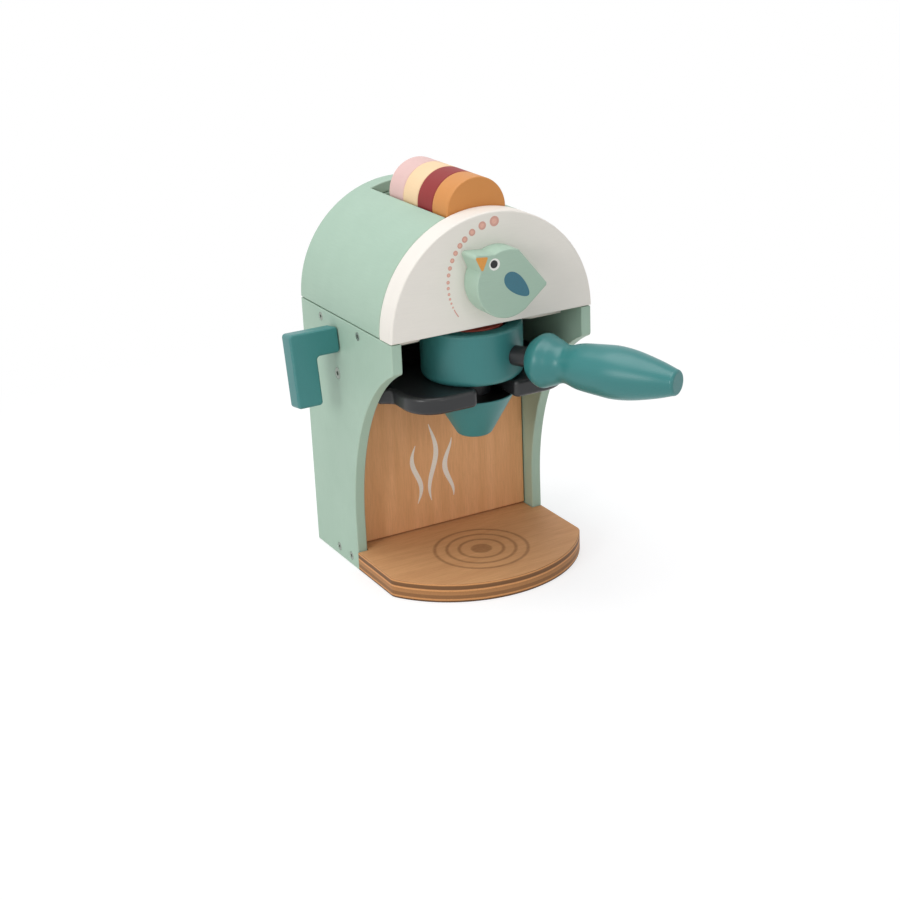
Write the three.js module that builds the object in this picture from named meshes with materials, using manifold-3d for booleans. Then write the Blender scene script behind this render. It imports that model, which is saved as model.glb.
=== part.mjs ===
// Toy coffee maker in painted wood: a C-shaped body with a half-round head, a row of round
// coffee pods in the head's channel, a bird-shaped dial, a swinging steam wand, and a
// portafilter that slides into a black fork and carries one more pod.
// Millimetres, +Z up, the front faces -Y, and the origin is on the floor below the brew axis.

import * as THREE from "three";
import { mergeVertices } from "three/addons/utils/BufferGeometryUtils.js";
import Module from "manifold-3d";

const wasm = await Module();
wasm.setup();

const degree = Math.PI / 180;

// Driving dimensions of the body
const bodyWidth = 150;
const bodyDepth = 138.2;
const seamHeight = 183.5;
const brewToFront = 32;
const sideThickness = 7.5;
const boardThickness = 8;
const frontPanelThickness = 17.8;
const rearDiscThickness = 13.3;
const hoodThickness = 7.5;

// Clearances and finish
const boardGap = 0.3;
const gluedGap = 0.1;
const turningGap = 0.3;
const overrun = 4;
const boardRounding = 0.9;
const softRounding = 2.4;

// Base board
const baseThickness = 13.8;
const baseReach = 55.5;
const baseFrontExtraRadius = 12;
const baseCornerRadius = 9;

// Side panel cut-out: a quarter ellipse between the straight column and the straight nose
const columnFrontY = 39.1;
const cutoutSpringHeight = 36.2;
const cutoutSemiDepth = 106.7;
const sideNoseHeight = 20.8;
const sideSetback = 1;
const sideNoseRadius = 3;

// Boards between the side panels
const backPanelSetback = 10.3;
const backPanelRise = 8;
const deckTopDrop = 3;
const deckThickness = 7.5;
const deckFrontY = -5.5;
const deckNotchRadius = 38.5;
const deckMouthRadius = 6;

// Fork that holds the portafilter
const forkThickness = 12;
const forkFrontY = -33;
const forkSideGap = 8.2;
const forkCornerRadius = 21;
const forkShoulderFrontY = 3;
const forkShoulderBackY = 9;
const forkSlotHalfWidth = 14;
const forkTipRadius = 4;
const forkRounding = 2;

// Pods and their channel
const podRadius = 21.75;
const podThickness = 20;
const podRounding = 1.2;
const podsProud = 19.05;
const podColours = { orange: 0xd99558, burgundy: 0x8e3e3a, cream: 0xf0d4a4, pink: 0xe2beb8 };
const channelHalfWidth = 23;
const channelWall = 5.7;
const channelFloor = 6;

// Dial and its click mechanism
const dialX = 1;
const dialThickness = 17.5;
const dialBodyRadius = 22.6;
const dialTail = { length: 30, angle: -9.5 * degree, from: -54 * degree, to: 67 * degree };
const dialBeak = { length: 33.2, angle: 138.3 * degree, from: 114 * degree, to: 152.5 * degree };
const dialTipRadius = 2;
const dialRounding = 1.6;
const spindleRadius = 4;
const spindleInKnob = 11;
const clickWheelRadius = 12;
const clickWheelHeadroom = 0.75;
const clickNotches = 12;
const clickNotchDepth = 1.2;
const clickWheelThickness = 6;
const clickLeafThickness = 0.8;
const clickBlockWidth = 13;
const clickBlockHeight = 12;
const clickBlockRise = 5.5;

// Steam wand
const wandSetback = 14.3;
const wandPivotDrop = 16.9;
const wandReach = 35.4;
const wandArmHeight = 17.6;
const wandDropWidth = 18.2;
const wandTotalHeight = 50.5;
const wandThickness = 14;
const wandCornerRadius = 2.5;
const wandRounding = 1.5;
const wandLean = 9 * degree;
const wandPivotRadius = 4;
const wandPivotInArm = 16;
const wandKeeperRadius = 5.6;
const wandKeeperThickness = 2.5;

// Portafilter
const cupRadius = 34.6;
const cupHeight = 35.9;
const cupHeadroom = 5.3;
const cupFootRadius = 5;
const cupLipRadius = 2;
const cupRecessRadius = 23.5;
const neckRadius = 12.5;
const neckSocketDepth = 6;
const spoutTopRadius = 28.5;
const spoutBottomRadius = 11.5;
const spoutHeight = 30.2;
const spoutRounding = 3.5;
const handleRise = 17.1;
const handleAngle = 26.7 * degree;
const handleDowelRadius = 6.75;
const handleDowelInCup = 8.4;
const handleDowelInGrip = 12;
const gripStart = 46.8;
const gripLength = 107.8;
const gripRadius = 18.3;
const gripEndRounding = 2.2;
// Outline of the grip: place along it and radius there, as shares of its length and radius
const gripOutlineShares = [
  [0, 0.46], [0.03, 0.74], [0.1, 0.985], [0.17, 0.87], [0.255, 0.69], [0.36, 0.83],
  [0.5, 0.91], [0.6, 0.94], [0.72, 0.865], [0.87, 0.665], [0.98, 0.466],
];

// Screws
const smallScrew = { headRadius: 2.85, headDepth: 2, shankRadius: 1.5, length: 22 };
const largeScrew = { headRadius: 4, headDepth: 2.4, shankRadius: 1.9, length: 26 };
const blockScrew = { headRadius: 2.1, headDepth: 1.4, shankRadius: 1.2, length: 16 };
const keeperScrew = { headRadius: 2.4, headDepth: 1.4, shankRadius: 1.2, length: 13 };
const screwSocketDepth = 1.2;
const screwSocketShare = 0.5;
const screwSocketSides = 6;
const screwGap = 0.15;
const deckScrewInsets = { front: 23.7, rear: 31.3 };
const baseScrewInsets = { front: 11.2, rear: 36.4 };
const backScrewDrop = 8.4;
const forkScrewInset = 27.2;
const rearScrewInset = 22.2;

// Places worked out from the sizes above
const halfWidth = bodyWidth / 2;
const innerHalfWidth = halfWidth - sideThickness - boardGap;
const frontY = -brewToFront;
const rearY = frontY + bodyDepth;
const hoodFrontY = frontY + frontPanelThickness + boardGap;
const channelEndY = rearY - rearDiscThickness;
const hoodInnerRadius = halfWidth - hoodThickness;
const sideTop = seamHeight - boardGap;
const boardsBottom = baseThickness + boardGap;
const deckBottom = seamHeight - deckTopDrop - deckThickness;
const deckScrewHeight = deckBottom + deckThickness / 2;
const deckScrewYs = { front: deckFrontY + deckScrewInsets.front, rear: rearY - deckScrewInsets.rear };
const baseScrewYs = { front: columnFrontY + baseScrewInsets.front, rear: rearY - baseScrewInsets.rear };
const baseFrontRadius = halfWidth + baseFrontExtraRadius;
const cupTop = seamHeight - cupHeadroom;
const cupBottom = cupTop - cupHeight;
const handleHeight = cupBottom + handleRise;
const forkTop = cupBottom - boardGap;
const forkBottom = forkTop - forkThickness;
const forkHalfWidth = innerHalfWidth - forkSideGap;
const spoutTop = forkBottom - boardGap;
const backPanelY = columnFrontY + backPanelSetback;
const backPanelTop = forkTop + backPanelRise;
const backScrewHeight = backPanelTop - backScrewDrop;
const podSeatHeight = cupTop - podThickness;
const podCentreHeight = seamHeight + halfWidth + podsProud - podRadius;
const troughFloorHeight = podCentreHeight - podRadius - turningGap;
const troughBottom = troughFloorHeight - channelFloor;
const dialHeight = troughBottom - clickWheelHeadroom - clickWheelRadius;
const clickLeafX = dialX - clickWheelRadius - turningGap - clickLeafThickness / 2;
const clickBlockX = clickLeafX - clickLeafThickness / 2 - gluedGap - clickBlockWidth / 2;
const clickBlockBottom = seamHeight + clickBlockRise;
const clickBlockHeightMiddle = clickBlockBottom + clickBlockHeight / 2;
const forkScrewX = innerHalfWidth - forkScrewInset;
const rearScrewX = innerHalfWidth - rearScrewInset;
const dialFrontGapY = frontY - turningGap;
const clickWheelFrontY = hoodFrontY + turningGap;
const wandY = columnFrontY + wandSetback;
const wandHeight = seamHeight - wandPivotDrop;

// Steps on round stretches
const curveSteps = 28;
const cornerSteps = 4;
const cornerStep = Math.PI / 8;
const smallCornerStep = Math.PI / 4;
const turnedSides = 32;
const smallSides = 12;
const gripSteps = 16;
const crownSteps = 2;
const notchSteps = 4;
const softBevelSteps = 2;

const mintPaint = { color: 0xb0ccbc, roughness: 0.62, metalness: 0 };
const creamPaint = { color: 0xe6e0d2, roughness: 0.6, metalness: 0 };
const whitePaint = { color: 0xded8ca, roughness: 0.6, metalness: 0 };
const tealPaint = { color: 0x2f7f80, roughness: 0.45, metalness: 0 };
const blackPaint = { color: 0x2a2a2d, roughness: 0.55, metalness: 0 };
const stainedPly = { color: 0xb9814f, roughness: 0.65, metalness: 0 };
const bareWood = { color: 0xd8b98c, roughness: 0.75, metalness: 0 };
const brickPaint = { color: 0x9a4338, roughness: 0.6, metalness: 0 };
const zincSteel = { color: 0xb4b6b4, roughness: 0.35, metalness: 1 };
const springSteel = { color: 0x9a9c9e, roughness: 0.3, metalness: 1 };

const machine = new THREE.Group();

/** Indexed copy of a geometry with shared corners and no collapsed triangles. */
function weld(geometry) {
  const bare = new THREE.BufferGeometry();
  bare.setAttribute("position", geometry.getAttribute("position").clone());
  bare.setIndex(geometry.getIndex());
  const merged = mergeVertices(bare);
  const from = merged.getIndex().array;
  const kept = [];
  for (let i = 0; i < from.length; i += 3) {
    const [a, b, c] = [from[i], from[i + 1], from[i + 2]];
    if (a !== b && b !== c && c !== a) kept.push(a, b, c);
  }
  merged.setIndex(kept);
  return merged;
}

function toSolid(geometry) {
  const { attributes, index } = weld(geometry);
  const mesh = new wasm.Mesh({
    numProp: 3,
    vertProperties: new Float32Array(attributes.position.array),
    triVerts: new Uint32Array(index.array),
  });
  return new wasm.Manifold(mesh);
}

function fromSolid(solid) {
  const { vertProperties, triVerts } = solid.getMesh();
  const geometry = new THREE.BufferGeometry();
  geometry.setAttribute("position", new THREE.BufferAttribute(vertProperties, 3));
  geometry.setIndex(new THREE.BufferAttribute(triVerts, 1));
  return geometry;
}

/** Add a named piece to the machine or to a group in it. */
function piece(name, geometry, look, parent = machine) {
  const mesh = new THREE.Mesh(weld(geometry), new THREE.MeshStandardMaterial(look));
  mesh.name = name;
  parent.add(mesh);
  return mesh;
}

/** Cut placed tools out of a placed piece. */
function carve(mesh, tools) {
  mesh.updateWorldMatrix(true, false);
  const toLocal = mesh.matrixWorld.clone().invert();
  let solid = toSolid(mesh.geometry);
  for (const tool of tools) {
    tool.updateWorldMatrix(true, false);
    const shape = tool.geometry.clone().applyMatrix4(tool.matrixWorld).applyMatrix4(toLocal);
    solid = solid.subtract(toSolid(shape));
  }
  mesh.geometry = fromSolid(solid);
}

/** Points of a closed outline whose corners [x, y, radius] are rounded by true arcs. */
function rounded(corners) {
  const points = [];
  const direction = ([x, y], corner) => new THREE.Vector2(x, y).sub(corner).normalize();
  corners.forEach(([x, y, radius = 0], i) => {
    const corner = new THREE.Vector2(x, y);
    if (radius === 0) {
      points.push(corner);
      return;
    }
    const before = direction(corners.at(i - 1), corner);
    const after = direction(corners[(i + 1) % corners.length], corner);
    const half = Math.acos(THREE.MathUtils.clamp(before.dot(after), -1, 1)) / 2;
    const inward = before.clone().add(after).normalize();
    const middle = inward.multiplyScalar(radius / Math.sin(half)).add(corner);
    const start = before.multiplyScalar(radius / Math.tan(half)).add(corner);
    const end = after.multiplyScalar(radius / Math.tan(half)).add(corner);
    points.push(...arcBetween(middle, start, end, radius < softRounding ? smallCornerStep : cornerStep));
  });
  return points;
}

/** The shorter arc about a centre, from one point to another, in steps of an angle at most. */
function arcBetween(centre, start, end, step) {
  const from = start.clone().sub(centre);
  const angle = Math.atan2(from.cross(end.clone().sub(centre)), from.dot(end.clone().sub(centre)));
  const steps = Math.max(1, Math.ceil(Math.abs(angle) / step));
  const points = [];
  for (let i = 0; i <= steps; i++) points.push(start.clone().rotateAround(centre, (angle * i) / steps));
  return points;
}

/** Points on an arc about (x, y), both ends included. */
function arcPoints(x, y, radius, startAngle, endAngle, steps) {
  const points = [];
  for (let i = 0; i <= steps; i++) {
    const angle = startAngle + ((endAngle - startAngle) * i) / steps;
    points.push([x + radius * Math.cos(angle), y + radius * Math.sin(angle)]);
  }
  return points;
}

/** A board with rounded arrises: the outline pushed along +Z. */
function board(points, thickness, rounding = boardRounding) {
  return new THREE.ExtrudeGeometry(new THREE.Shape(points), {
    depth: thickness - 2 * rounding,
    bevelThickness: rounding,
    bevelSize: rounding,
    bevelOffset: -rounding,
    bevelSegments: rounding > boardRounding ? softBevelSteps : 1,
    curveSegments: curveSteps,
  }).translate(0, 0, rounding);
}

function rectangle(x0, y0, x1, y1) {
  return rounded([[x0, y0], [x1, y0], [x1, y1], [x0, y1]]);
}

/** Turn a board into the XZ plane: its back face lies at y, and it is pushed towards -Y. */
function standAcross(mesh, y) {
  mesh.rotation.x = Math.PI / 2;
  mesh.position.y = y;
  return mesh;
}

/** Turn a board into the YZ plane: it is pushed towards +X from x. */
function standAlong(mesh, x) {
  mesh.rotation.set(Math.PI / 2, Math.PI / 2, 0);
  mesh.position.x = x;
  return mesh;
}

/** A turned piece about the Y axis, from [radius, height] corners rounded like an outline's. */
function turned(corners, sides = turnedSides) {
  const foot = [0, corners[0][1]];
  const head = [0, corners.at(-1)[1]];
  return new THREE.LatheGeometry(rounded([foot, ...corners, head]), sides);
}

function drum(radius, length, rounding = 0, sides = turnedSides) {
  return turned([[radius, 0, rounding], [radius, length, rounding]], sides);
}

/** A plain round cutter of the given length, along +Y from its position. */
function drill(radius, length, sides = turnedSides) {
  return new THREE.Mesh(drum(radius, length, 0, sides));
}

/** Screw body about +Y: its head is flush at zero and it goes in towards +Y. */
function screwBody(size, gap) {
  return turned([
    [size.headRadius + gap, -gap],
    [size.shankRadius + gap, size.headDepth],
    [size.shankRadius + gap, size.length + gap],
  ], smallSides);
}

/** Place a screw or its hole: it goes in from a side panel or from behind. */
function placeScrew(mesh, screw) {
  const turns = { left: -Math.PI / 2, right: Math.PI / 2, rear: Math.PI, front: 0 };
  mesh.rotation.z = turns[screw.from];
  mesh.position.set(...screw.at);
  return mesh;
}

function screwHole(screw) {
  return placeScrew(new THREE.Mesh(screwBody(screw.size, screwGap)), screw);
}

function addScrew(screw) {
  const mesh = placeScrew(piece(screw.name, screwBody(screw.size, 0), zincSteel), screw);
  const socketRadius = screw.size.headRadius * screwSocketShare;
  const socket = drill(socketRadius, screwSocketDepth + overrun, screwSocketSides);
  socket.geometry.translate(0, -overrun, 0);
  carve(mesh, [placeScrew(socket, screw)]);
}

function sideScrews(label, size, y, z) {
  return [
    { name: `${label}_left`, size, from: "left", at: [-halfWidth, y, z] },
    { name: `${label}_right`, size, from: "right", at: [halfWidth, y, z] },
  ];
}

const deckScrews = Object.entries(deckScrewYs)
  .flatMap(([end, y]) => sideScrews(`deck_screw_${end}`, smallScrew, y, deckScrewHeight));
const backScrewY = backPanelY + boardThickness / 2;
const backScrews = sideScrews("back_panel_bolt", largeScrew, backScrewY, backScrewHeight);
const baseScrews = Object.entries(baseScrewYs)
  .flatMap(([end, y]) => sideScrews(`base_screw_${end}`, smallScrew, y, baseThickness / 2));
const forkScrews = [["left", -forkScrewX], ["right", forkScrewX]].map(([side, x]) => ({
  name: `fork_screw_${side}`,
  size: smallScrew,
  from: "rear",
  at: [x, backPanelY + boardThickness, (forkTop + forkBottom) / 2],
}));
const rearScrews = [["left", -rearScrewX], ["right", rearScrewX]].map(([side, x]) => ({
  name: `rear_screw_${side}`,
  size: smallScrew,
  from: "rear",
  at: [x, rearY, deckScrewHeight],
}));
const clickScrew = {
  name: "click_screw",
  size: blockScrew,
  from: "rear",
  at: [clickBlockX, clickWheelFrontY + clickWheelThickness, clickBlockHeightMiddle],
};
const sideHoles = [...deckScrews, ...backScrews, ...baseScrews];

function addBase() {
  const arcCentreY = baseFrontRadius - baseReach;
  const noseAngle = Math.acos((halfWidth - baseCornerRadius) / (baseFrontRadius - baseCornerRadius));
  const cornerX = halfWidth - baseCornerRadius;
  const cornerY = arcCentreY - (baseFrontRadius - baseCornerRadius) * Math.sin(noseAngle);
  const shoulderY = columnFrontY - boardGap;
  const points = [
    ...arcPoints(-cornerX, cornerY, baseCornerRadius, Math.PI, Math.PI + noseAngle, cornerSteps),
    ...arcPoints(0, arcCentreY, baseFrontRadius, Math.PI + noseAngle, 2 * Math.PI - noseAngle, curveSteps),
    ...arcPoints(cornerX, cornerY, baseCornerRadius, -noseAngle, 0, cornerSteps),
    [halfWidth, shoulderY],
    [innerHalfWidth, shoulderY],
    [innerHalfWidth, rearY],
    [-innerHalfWidth, rearY],
    [-innerHalfWidth, shoulderY],
    [-halfWidth, shoulderY],
  ];
  const base = piece("base_board", board(rounded(points), baseThickness), stainedPly);
  carve(base, baseScrews.map(screwHole));
}

/** Side panel outline in the YZ plane, with the concave front edge. */
function sideOutline() {
  const noseY = frontY + sideSetback;
  const noseHeight = seamHeight - sideNoseHeight;
  const centreY = columnFrontY - cutoutSemiDepth;
  const topAngle = Math.acos((noseY - centreY) / cutoutSemiDepth);
  const cutoutSemiHeight = (noseHeight - cutoutSpringHeight) / Math.sin(topAngle);
  const curve = [];
  for (let i = 1; i <= curveSteps; i++) {
    const angle = topAngle * (1 - i / curveSteps);
    curve.push([
      centreY + cutoutSemiDepth * Math.cos(angle),
      cutoutSpringHeight + cutoutSemiHeight * Math.sin(angle),
    ]);
  }
  return rounded([
    [rearY, 0], [rearY, sideTop], [noseY, sideTop],
    [noseY, noseHeight, sideNoseRadius],
    ...curve.slice(1),
    [columnFrontY, 0],
  ]);
}

function addSidePanels() {
  const wandHole = drill(wandPivotRadius + turningGap, sideThickness + 2 * overrun);
  wandHole.rotation.z = -Math.PI / 2;
  wandHole.position.set(-halfWidth - overrun, wandY, wandHeight);
  for (const [side, x] of [["left", -halfWidth], ["right", halfWidth - sideThickness]]) {
    const panel = piece(`side_panel_${side}`, board(sideOutline(), sideThickness), mintPaint);
    standAlong(panel, x);
    const holes = sideHoles.filter((screw) => screw.from === side).map(screwHole);
    if (side === "left") holes.push(wandHole);
    carve(panel, holes);
  }
}

function addCrossBoards() {
  const back = piece(
    "back_panel",
    board(rectangle(-innerHalfWidth, boardsBottom, innerHalfWidth, backPanelTop), boardThickness),
    stainedPly,
  );
  standAcross(back, backPanelY + boardThickness);
  carve(back, [...backScrews, ...forkScrews].map(screwHole));

  const rear = piece(
    "rear_panel",
    board(rectangle(-innerHalfWidth, boardsBottom, innerHalfWidth, sideTop), boardThickness),
    mintPaint,
  );
  standAcross(rear, rearY);
  carve(rear, rearScrews.map(screwHole));
}

function addDeck() {
  const deckBackY = rearY - boardThickness - boardGap;
  const mouthY = deckFrontY + deckMouthRadius;
  const mouthX = Math.sqrt((deckNotchRadius + deckMouthRadius) ** 2 - mouthY ** 2);
  const mouthAngle = Math.atan2(mouthY, mouthX);
  const points = rounded([
    ...arcPoints(-mouthX, mouthY, deckMouthRadius, -Math.PI / 2, -mouthAngle, cornerSteps),
    ...arcPoints(0, 0, deckNotchRadius, Math.PI - mouthAngle, mouthAngle, curveSteps).slice(1, -1),
    ...arcPoints(mouthX, mouthY, deckMouthRadius, Math.PI + mouthAngle, 3 * Math.PI / 2, cornerSteps),
    [innerHalfWidth, deckFrontY],
    [innerHalfWidth, deckBackY],
    [-innerHalfWidth, deckBackY],
    [-innerHalfWidth, deckFrontY],
  ]);
  const deck = piece("head_deck", board(points, deckThickness), creamPaint);
  deck.position.z = deckBottom;
  carve(deck, [...deckScrews, ...rearScrews].map(screwHole));
}

function addFork() {
  const forkBackY = backPanelY - boardGap;
  const slot = arcPoints(0, 0, forkSlotHalfWidth, Math.PI, 0, curveSteps / 2);
  const points = rounded([
    [-forkSlotHalfWidth, forkFrontY, forkTipRadius],
    ...slot,
    [forkSlotHalfWidth, forkFrontY, forkTipRadius],
    [forkHalfWidth, forkFrontY, forkCornerRadius],
    [forkHalfWidth, forkShoulderFrontY],
    [innerHalfWidth, forkShoulderBackY],
    [innerHalfWidth, forkBackY],
    [-innerHalfWidth, forkBackY],
    [-innerHalfWidth, forkShoulderBackY],
    [-forkHalfWidth, forkShoulderFrontY],
    [-forkHalfWidth, forkFrontY, forkCornerRadius],
  ]);
  const fork = piece("fork_board", board(points, forkThickness, forkRounding), blackPaint);
  fork.position.z = forkBottom;
  carve(fork, forkScrews.map(screwHole));
}

/** Half disc on the seam line, in the XZ plane. */
function halfDisc(radius) {
  return rounded(arcPoints(0, seamHeight, radius, 0, Math.PI, curveSteps));
}

function addHead() {
  const frontShape = board(halfDisc(halfWidth), frontPanelThickness, softRounding);
  const front = piece("front_panel", frontShape, whitePaint);
  standAcross(front, frontY + frontPanelThickness);
  const spindleHole = drill(spindleRadius + turningGap, frontPanelThickness + 2 * overrun);
  spindleHole.position.set(dialX, frontY - overrun, dialHeight);
  carve(front, [spindleHole, screwHole(clickScrew)]);

  const skinPoints = [
    ...arcPoints(0, seamHeight, halfWidth, 0, Math.PI, curveSteps),
    ...arcPoints(0, seamHeight, hoodInnerRadius, Math.PI, 0, curveSteps),
  ];
  const skin = piece("hood_skin", board(rounded(skinPoints), rearY - hoodFrontY), mintPaint);
  standAcross(skin, rearY);
  const window = new THREE.Mesh(new THREE.BoxGeometry(
    2 * channelHalfWidth,
    channelEndY - hoodFrontY + 2 * overrun,
    halfWidth,
  ));
  window.position.set(0, (channelEndY + hoodFrontY) / 2 - overrun, seamHeight + halfWidth);
  carve(skin, [window]);

  const rearShape = board(halfDisc(hoodInnerRadius - boardGap), rearDiscThickness);
  standAcross(piece("rear_disc", rearShape, mintPaint), rearY);
}

/** Pod trough under the hood's window: two walls that reach the hood, and a round floor. */
function addTrough() {
  const outerX = channelHalfWidth + channelWall;
  const skinRadius = hoodInnerRadius - boardGap;
  const wallAngle = (x) => Math.acos(x / skinRadius);
  const centreHeight = troughFloorHeight + channelHalfWidth;
  const lipHeight = seamHeight + Math.sqrt(skinRadius ** 2 - channelHalfWidth ** 2);
  const lipDrop = Math.asin((centreHeight - lipHeight) / channelHalfWidth);
  const floorArc = arcPoints(
    0, centreHeight, channelHalfWidth,
    -lipDrop, lipDrop - Math.PI, curveSteps / 2,
  );
  const crown = (from, to) => arcPoints(0, seamHeight, skinRadius, from, to, crownSteps);
  const points = [
    [-outerX, troughBottom],
    [outerX, troughBottom],
    ...crown(wallAngle(outerX), wallAngle(channelHalfWidth)),
    ...floorArc,
    ...crown(Math.PI - wallAngle(channelHalfWidth), Math.PI - wallAngle(outerX)),
  ];
  const length = channelEndY - boardGap - hoodFrontY;
  const trough = piece("channel_trough", board(rounded(points), length, boardGap), mintPaint);
  standAcross(trough, channelEndY - boardGap);
}

function podSolid() {
  return drum(podRadius, podThickness, podRounding);
}

function addChannelPods() {
  Object.entries(podColours).forEach(([name, color], i) => {
    const pod = piece(`pod_${name}`, podSolid(), { color, roughness: 0.6, metalness: 0 });
    pod.position.set(0, hoodFrontY + boardGap + i * (podThickness + boardGap), podCentreHeight);
  });
}

/** Bird outline about the dial's axis: a round body, a beak and a pointed tail. */
function birdPoints() {
  const tip = ({ length, angle }) => [length * Math.cos(angle), length * Math.sin(angle), dialTipRadius];
  const bellyEnd = 2 * Math.PI + dialTail.from;
  return rounded([
    ...arcPoints(0, 0, dialBodyRadius, dialBeak.to, bellyEnd, curveSteps),
    tip(dialTail),
    ...arcPoints(0, 0, dialBodyRadius, dialTail.to, dialBeak.from, curveSteps / 4),
    tip(dialBeak),
  ]);
}

function addDial() {
  const knob = piece("dial_knob", board(birdPoints(), dialThickness, dialRounding), mintPaint);
  standAcross(knob, dialFrontGapY);
  knob.position.x = dialX;
  knob.position.z = dialHeight;
  const socket = drill(spindleRadius + gluedGap, spindleInKnob + overrun);
  socket.position.set(dialX, dialFrontGapY - spindleInKnob, dialHeight);
  carve(knob, [socket]);

  const spindleStart = dialFrontGapY - spindleInKnob + gluedGap;
  const spindleEnd = clickWheelFrontY + clickWheelThickness;
  const spindle = piece("dial_spindle", drum(spindleRadius, spindleEnd - spindleStart), bareWood);
  spindle.position.set(dialX, spindleStart, dialHeight);
}

/** Notched wheel behind the front panel, and the leaf on a block that clicks over its notches. */
function addClickMechanism() {
  const rim = [];
  const rimSteps = clickNotches * notchSteps;
  for (let i = 0; i < rimSteps; i++) {
    const angle = (2 * Math.PI * i) / rimSteps;
    const radius = i % notchSteps === 0 ? clickWheelRadius - clickNotchDepth : clickWheelRadius;
    rim.push([radius * Math.cos(angle), radius * Math.sin(angle)]);
  }
  const wheel = piece("click_wheel", board(rounded(rim), clickWheelThickness, boardGap), bareWood);
  standAcross(wheel, clickWheelFrontY + clickWheelThickness);
  wheel.position.x = dialX;
  wheel.position.z = dialHeight;
  const bore = drill(spindleRadius + gluedGap, clickWheelThickness + 2 * overrun);
  bore.position.set(dialX, clickWheelFrontY - overrun, dialHeight);
  carve(wheel, [bore]);

  const leafLength = dialHeight - clickBlockBottom;
  const leafY = clickWheelFrontY + clickWheelThickness / 2;
  const leafShape = new THREE.BoxGeometry(clickLeafThickness, clickWheelThickness, leafLength);
  const leaf = piece("click_leaf", leafShape, springSteel);
  leaf.position.set(clickLeafX, leafY, clickBlockBottom + leafLength / 2);

  const blockDepth = clickWheelThickness + turningGap - gluedGap;
  const blockY = hoodFrontY - boardGap + gluedGap + blockDepth / 2;
  const blockShape = new THREE.BoxGeometry(clickBlockWidth, blockDepth, clickBlockHeight);
  const block = piece("click_block", blockShape, bareWood);
  block.position.set(clickBlockX, blockY, clickBlockHeightMiddle);
  carve(block, [screwHole(clickScrew)]);
}

/** L-shaped wand on a dowel through the left side panel, kept by a disc and a screw inside. */
function addWand() {
  const wand = new THREE.Group();
  wand.position.set(-halfWidth, wandY, wandHeight);
  wand.rotation.x = -wandLean;
  machine.add(wand);

  const armTop = wandArmHeight / 2;
  const outer = -turningGap - wandReach;
  const arm = piece("wand_arm", board(rounded([
    [-turningGap, armTop, wandCornerRadius],
    [outer, armTop, wandCornerRadius],
    [outer, armTop - wandTotalHeight, wandCornerRadius],
    [outer + wandDropWidth, armTop - wandTotalHeight, wandCornerRadius],
    [outer + wandDropWidth, armTop - wandArmHeight, wandCornerRadius],
    [-turningGap, armTop - wandArmHeight, wandCornerRadius],
  ]), wandThickness, wandRounding), tealPaint, wand);
  standAcross(arm, wandThickness / 2);
  const along = (mesh, x) => {
    mesh.rotation.z = -Math.PI / 2;
    mesh.position.x = x;
    wand.add(mesh);
    return mesh;
  };
  const socket = along(drill(wandPivotRadius + gluedGap, wandPivotInArm + overrun), -wandPivotInArm);
  carve(arm, [socket]);
  wand.remove(socket);

  const innerFace = sideThickness + turningGap;
  const pivotLength = wandPivotInArm - gluedGap + innerFace;
  const pivot = piece("wand_pivot", drum(wandPivotRadius, pivotLength), bareWood);
  along(pivot, -wandPivotInArm + gluedGap);
  const keeperX = innerFace + gluedGap;
  const keeper = piece("wand_keeper", drum(wandKeeperRadius, wandKeeperThickness), bareWood);
  along(keeper, keeperX);
  const inwards = (mesh) => {
    along(mesh, keeperX + wandKeeperThickness).rotation.z = Math.PI / 2;
    return mesh;
  };
  const hole = inwards(new THREE.Mesh(screwBody(keeperScrew, screwGap)));
  carve(pivot, [hole]);
  carve(keeper, [hole]);
  wand.remove(hole);
  inwards(piece("wand_screw", screwBody(keeperScrew, 0), zincSteel));
}

/** Stand a turned piece upright on the brew axis. */
function standOnAxis(mesh, height) {
  mesh.rotation.x = Math.PI / 2;
  mesh.position.z = height;
  return mesh;
}

function addPortafilter() {
  const recessDepth = cupTop - podSeatHeight + boardGap;
  const cup = piece("portafilter_cup", turned([
    [cupRadius, 0, cupFootRadius],
    [cupRadius, cupHeight, cupLipRadius],
    [cupRecessRadius, cupHeight, cupLipRadius],
    [cupRecessRadius, cupHeight - recessDepth],
  ]), tealPaint);
  standOnAxis(cup, cupBottom);
  const neckSocket = drill(neckRadius + gluedGap, neckSocketDepth + overrun);
  standOnAxis(neckSocket, cupBottom - overrun);
  const dowelStart = cupRadius - handleDowelInCup;
  const dowelSocket = drill(handleDowelRadius + gluedGap, handleDowelInCup + overrun);
  dowelSocket.rotation.z = Math.PI + handleAngle;
  dowelSocket.position.set(
    dowelStart * Math.sin(handleAngle),
    -dowelStart * Math.cos(handleAngle),
    handleHeight,
  );
  carve(cup, [neckSocket, dowelSocket]);

  const neckBottom = spoutTop - neckSocketDepth + gluedGap;
  const neckTop = cupBottom + neckSocketDepth - gluedGap;
  const neckShape = drum(neckRadius, neckTop - neckBottom, boardRounding);
  standOnAxis(piece("portafilter_neck", neckShape, blackPaint), neckBottom);

  const spout = piece("portafilter_spout", turned([
    [spoutBottomRadius, 0, spoutRounding],
    [spoutTopRadius, spoutHeight, boardRounding],
  ]), tealPaint);
  standOnAxis(spout, spoutTop - spoutHeight);
  const spoutSocket = drill(neckRadius + gluedGap, neckSocketDepth + overrun);
  carve(spout, [standOnAxis(spoutSocket, spoutTop - neckSocketDepth)]);

  standOnAxis(piece("pod_brick", podSolid(), brickPaint), podSeatHeight);
}

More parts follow.
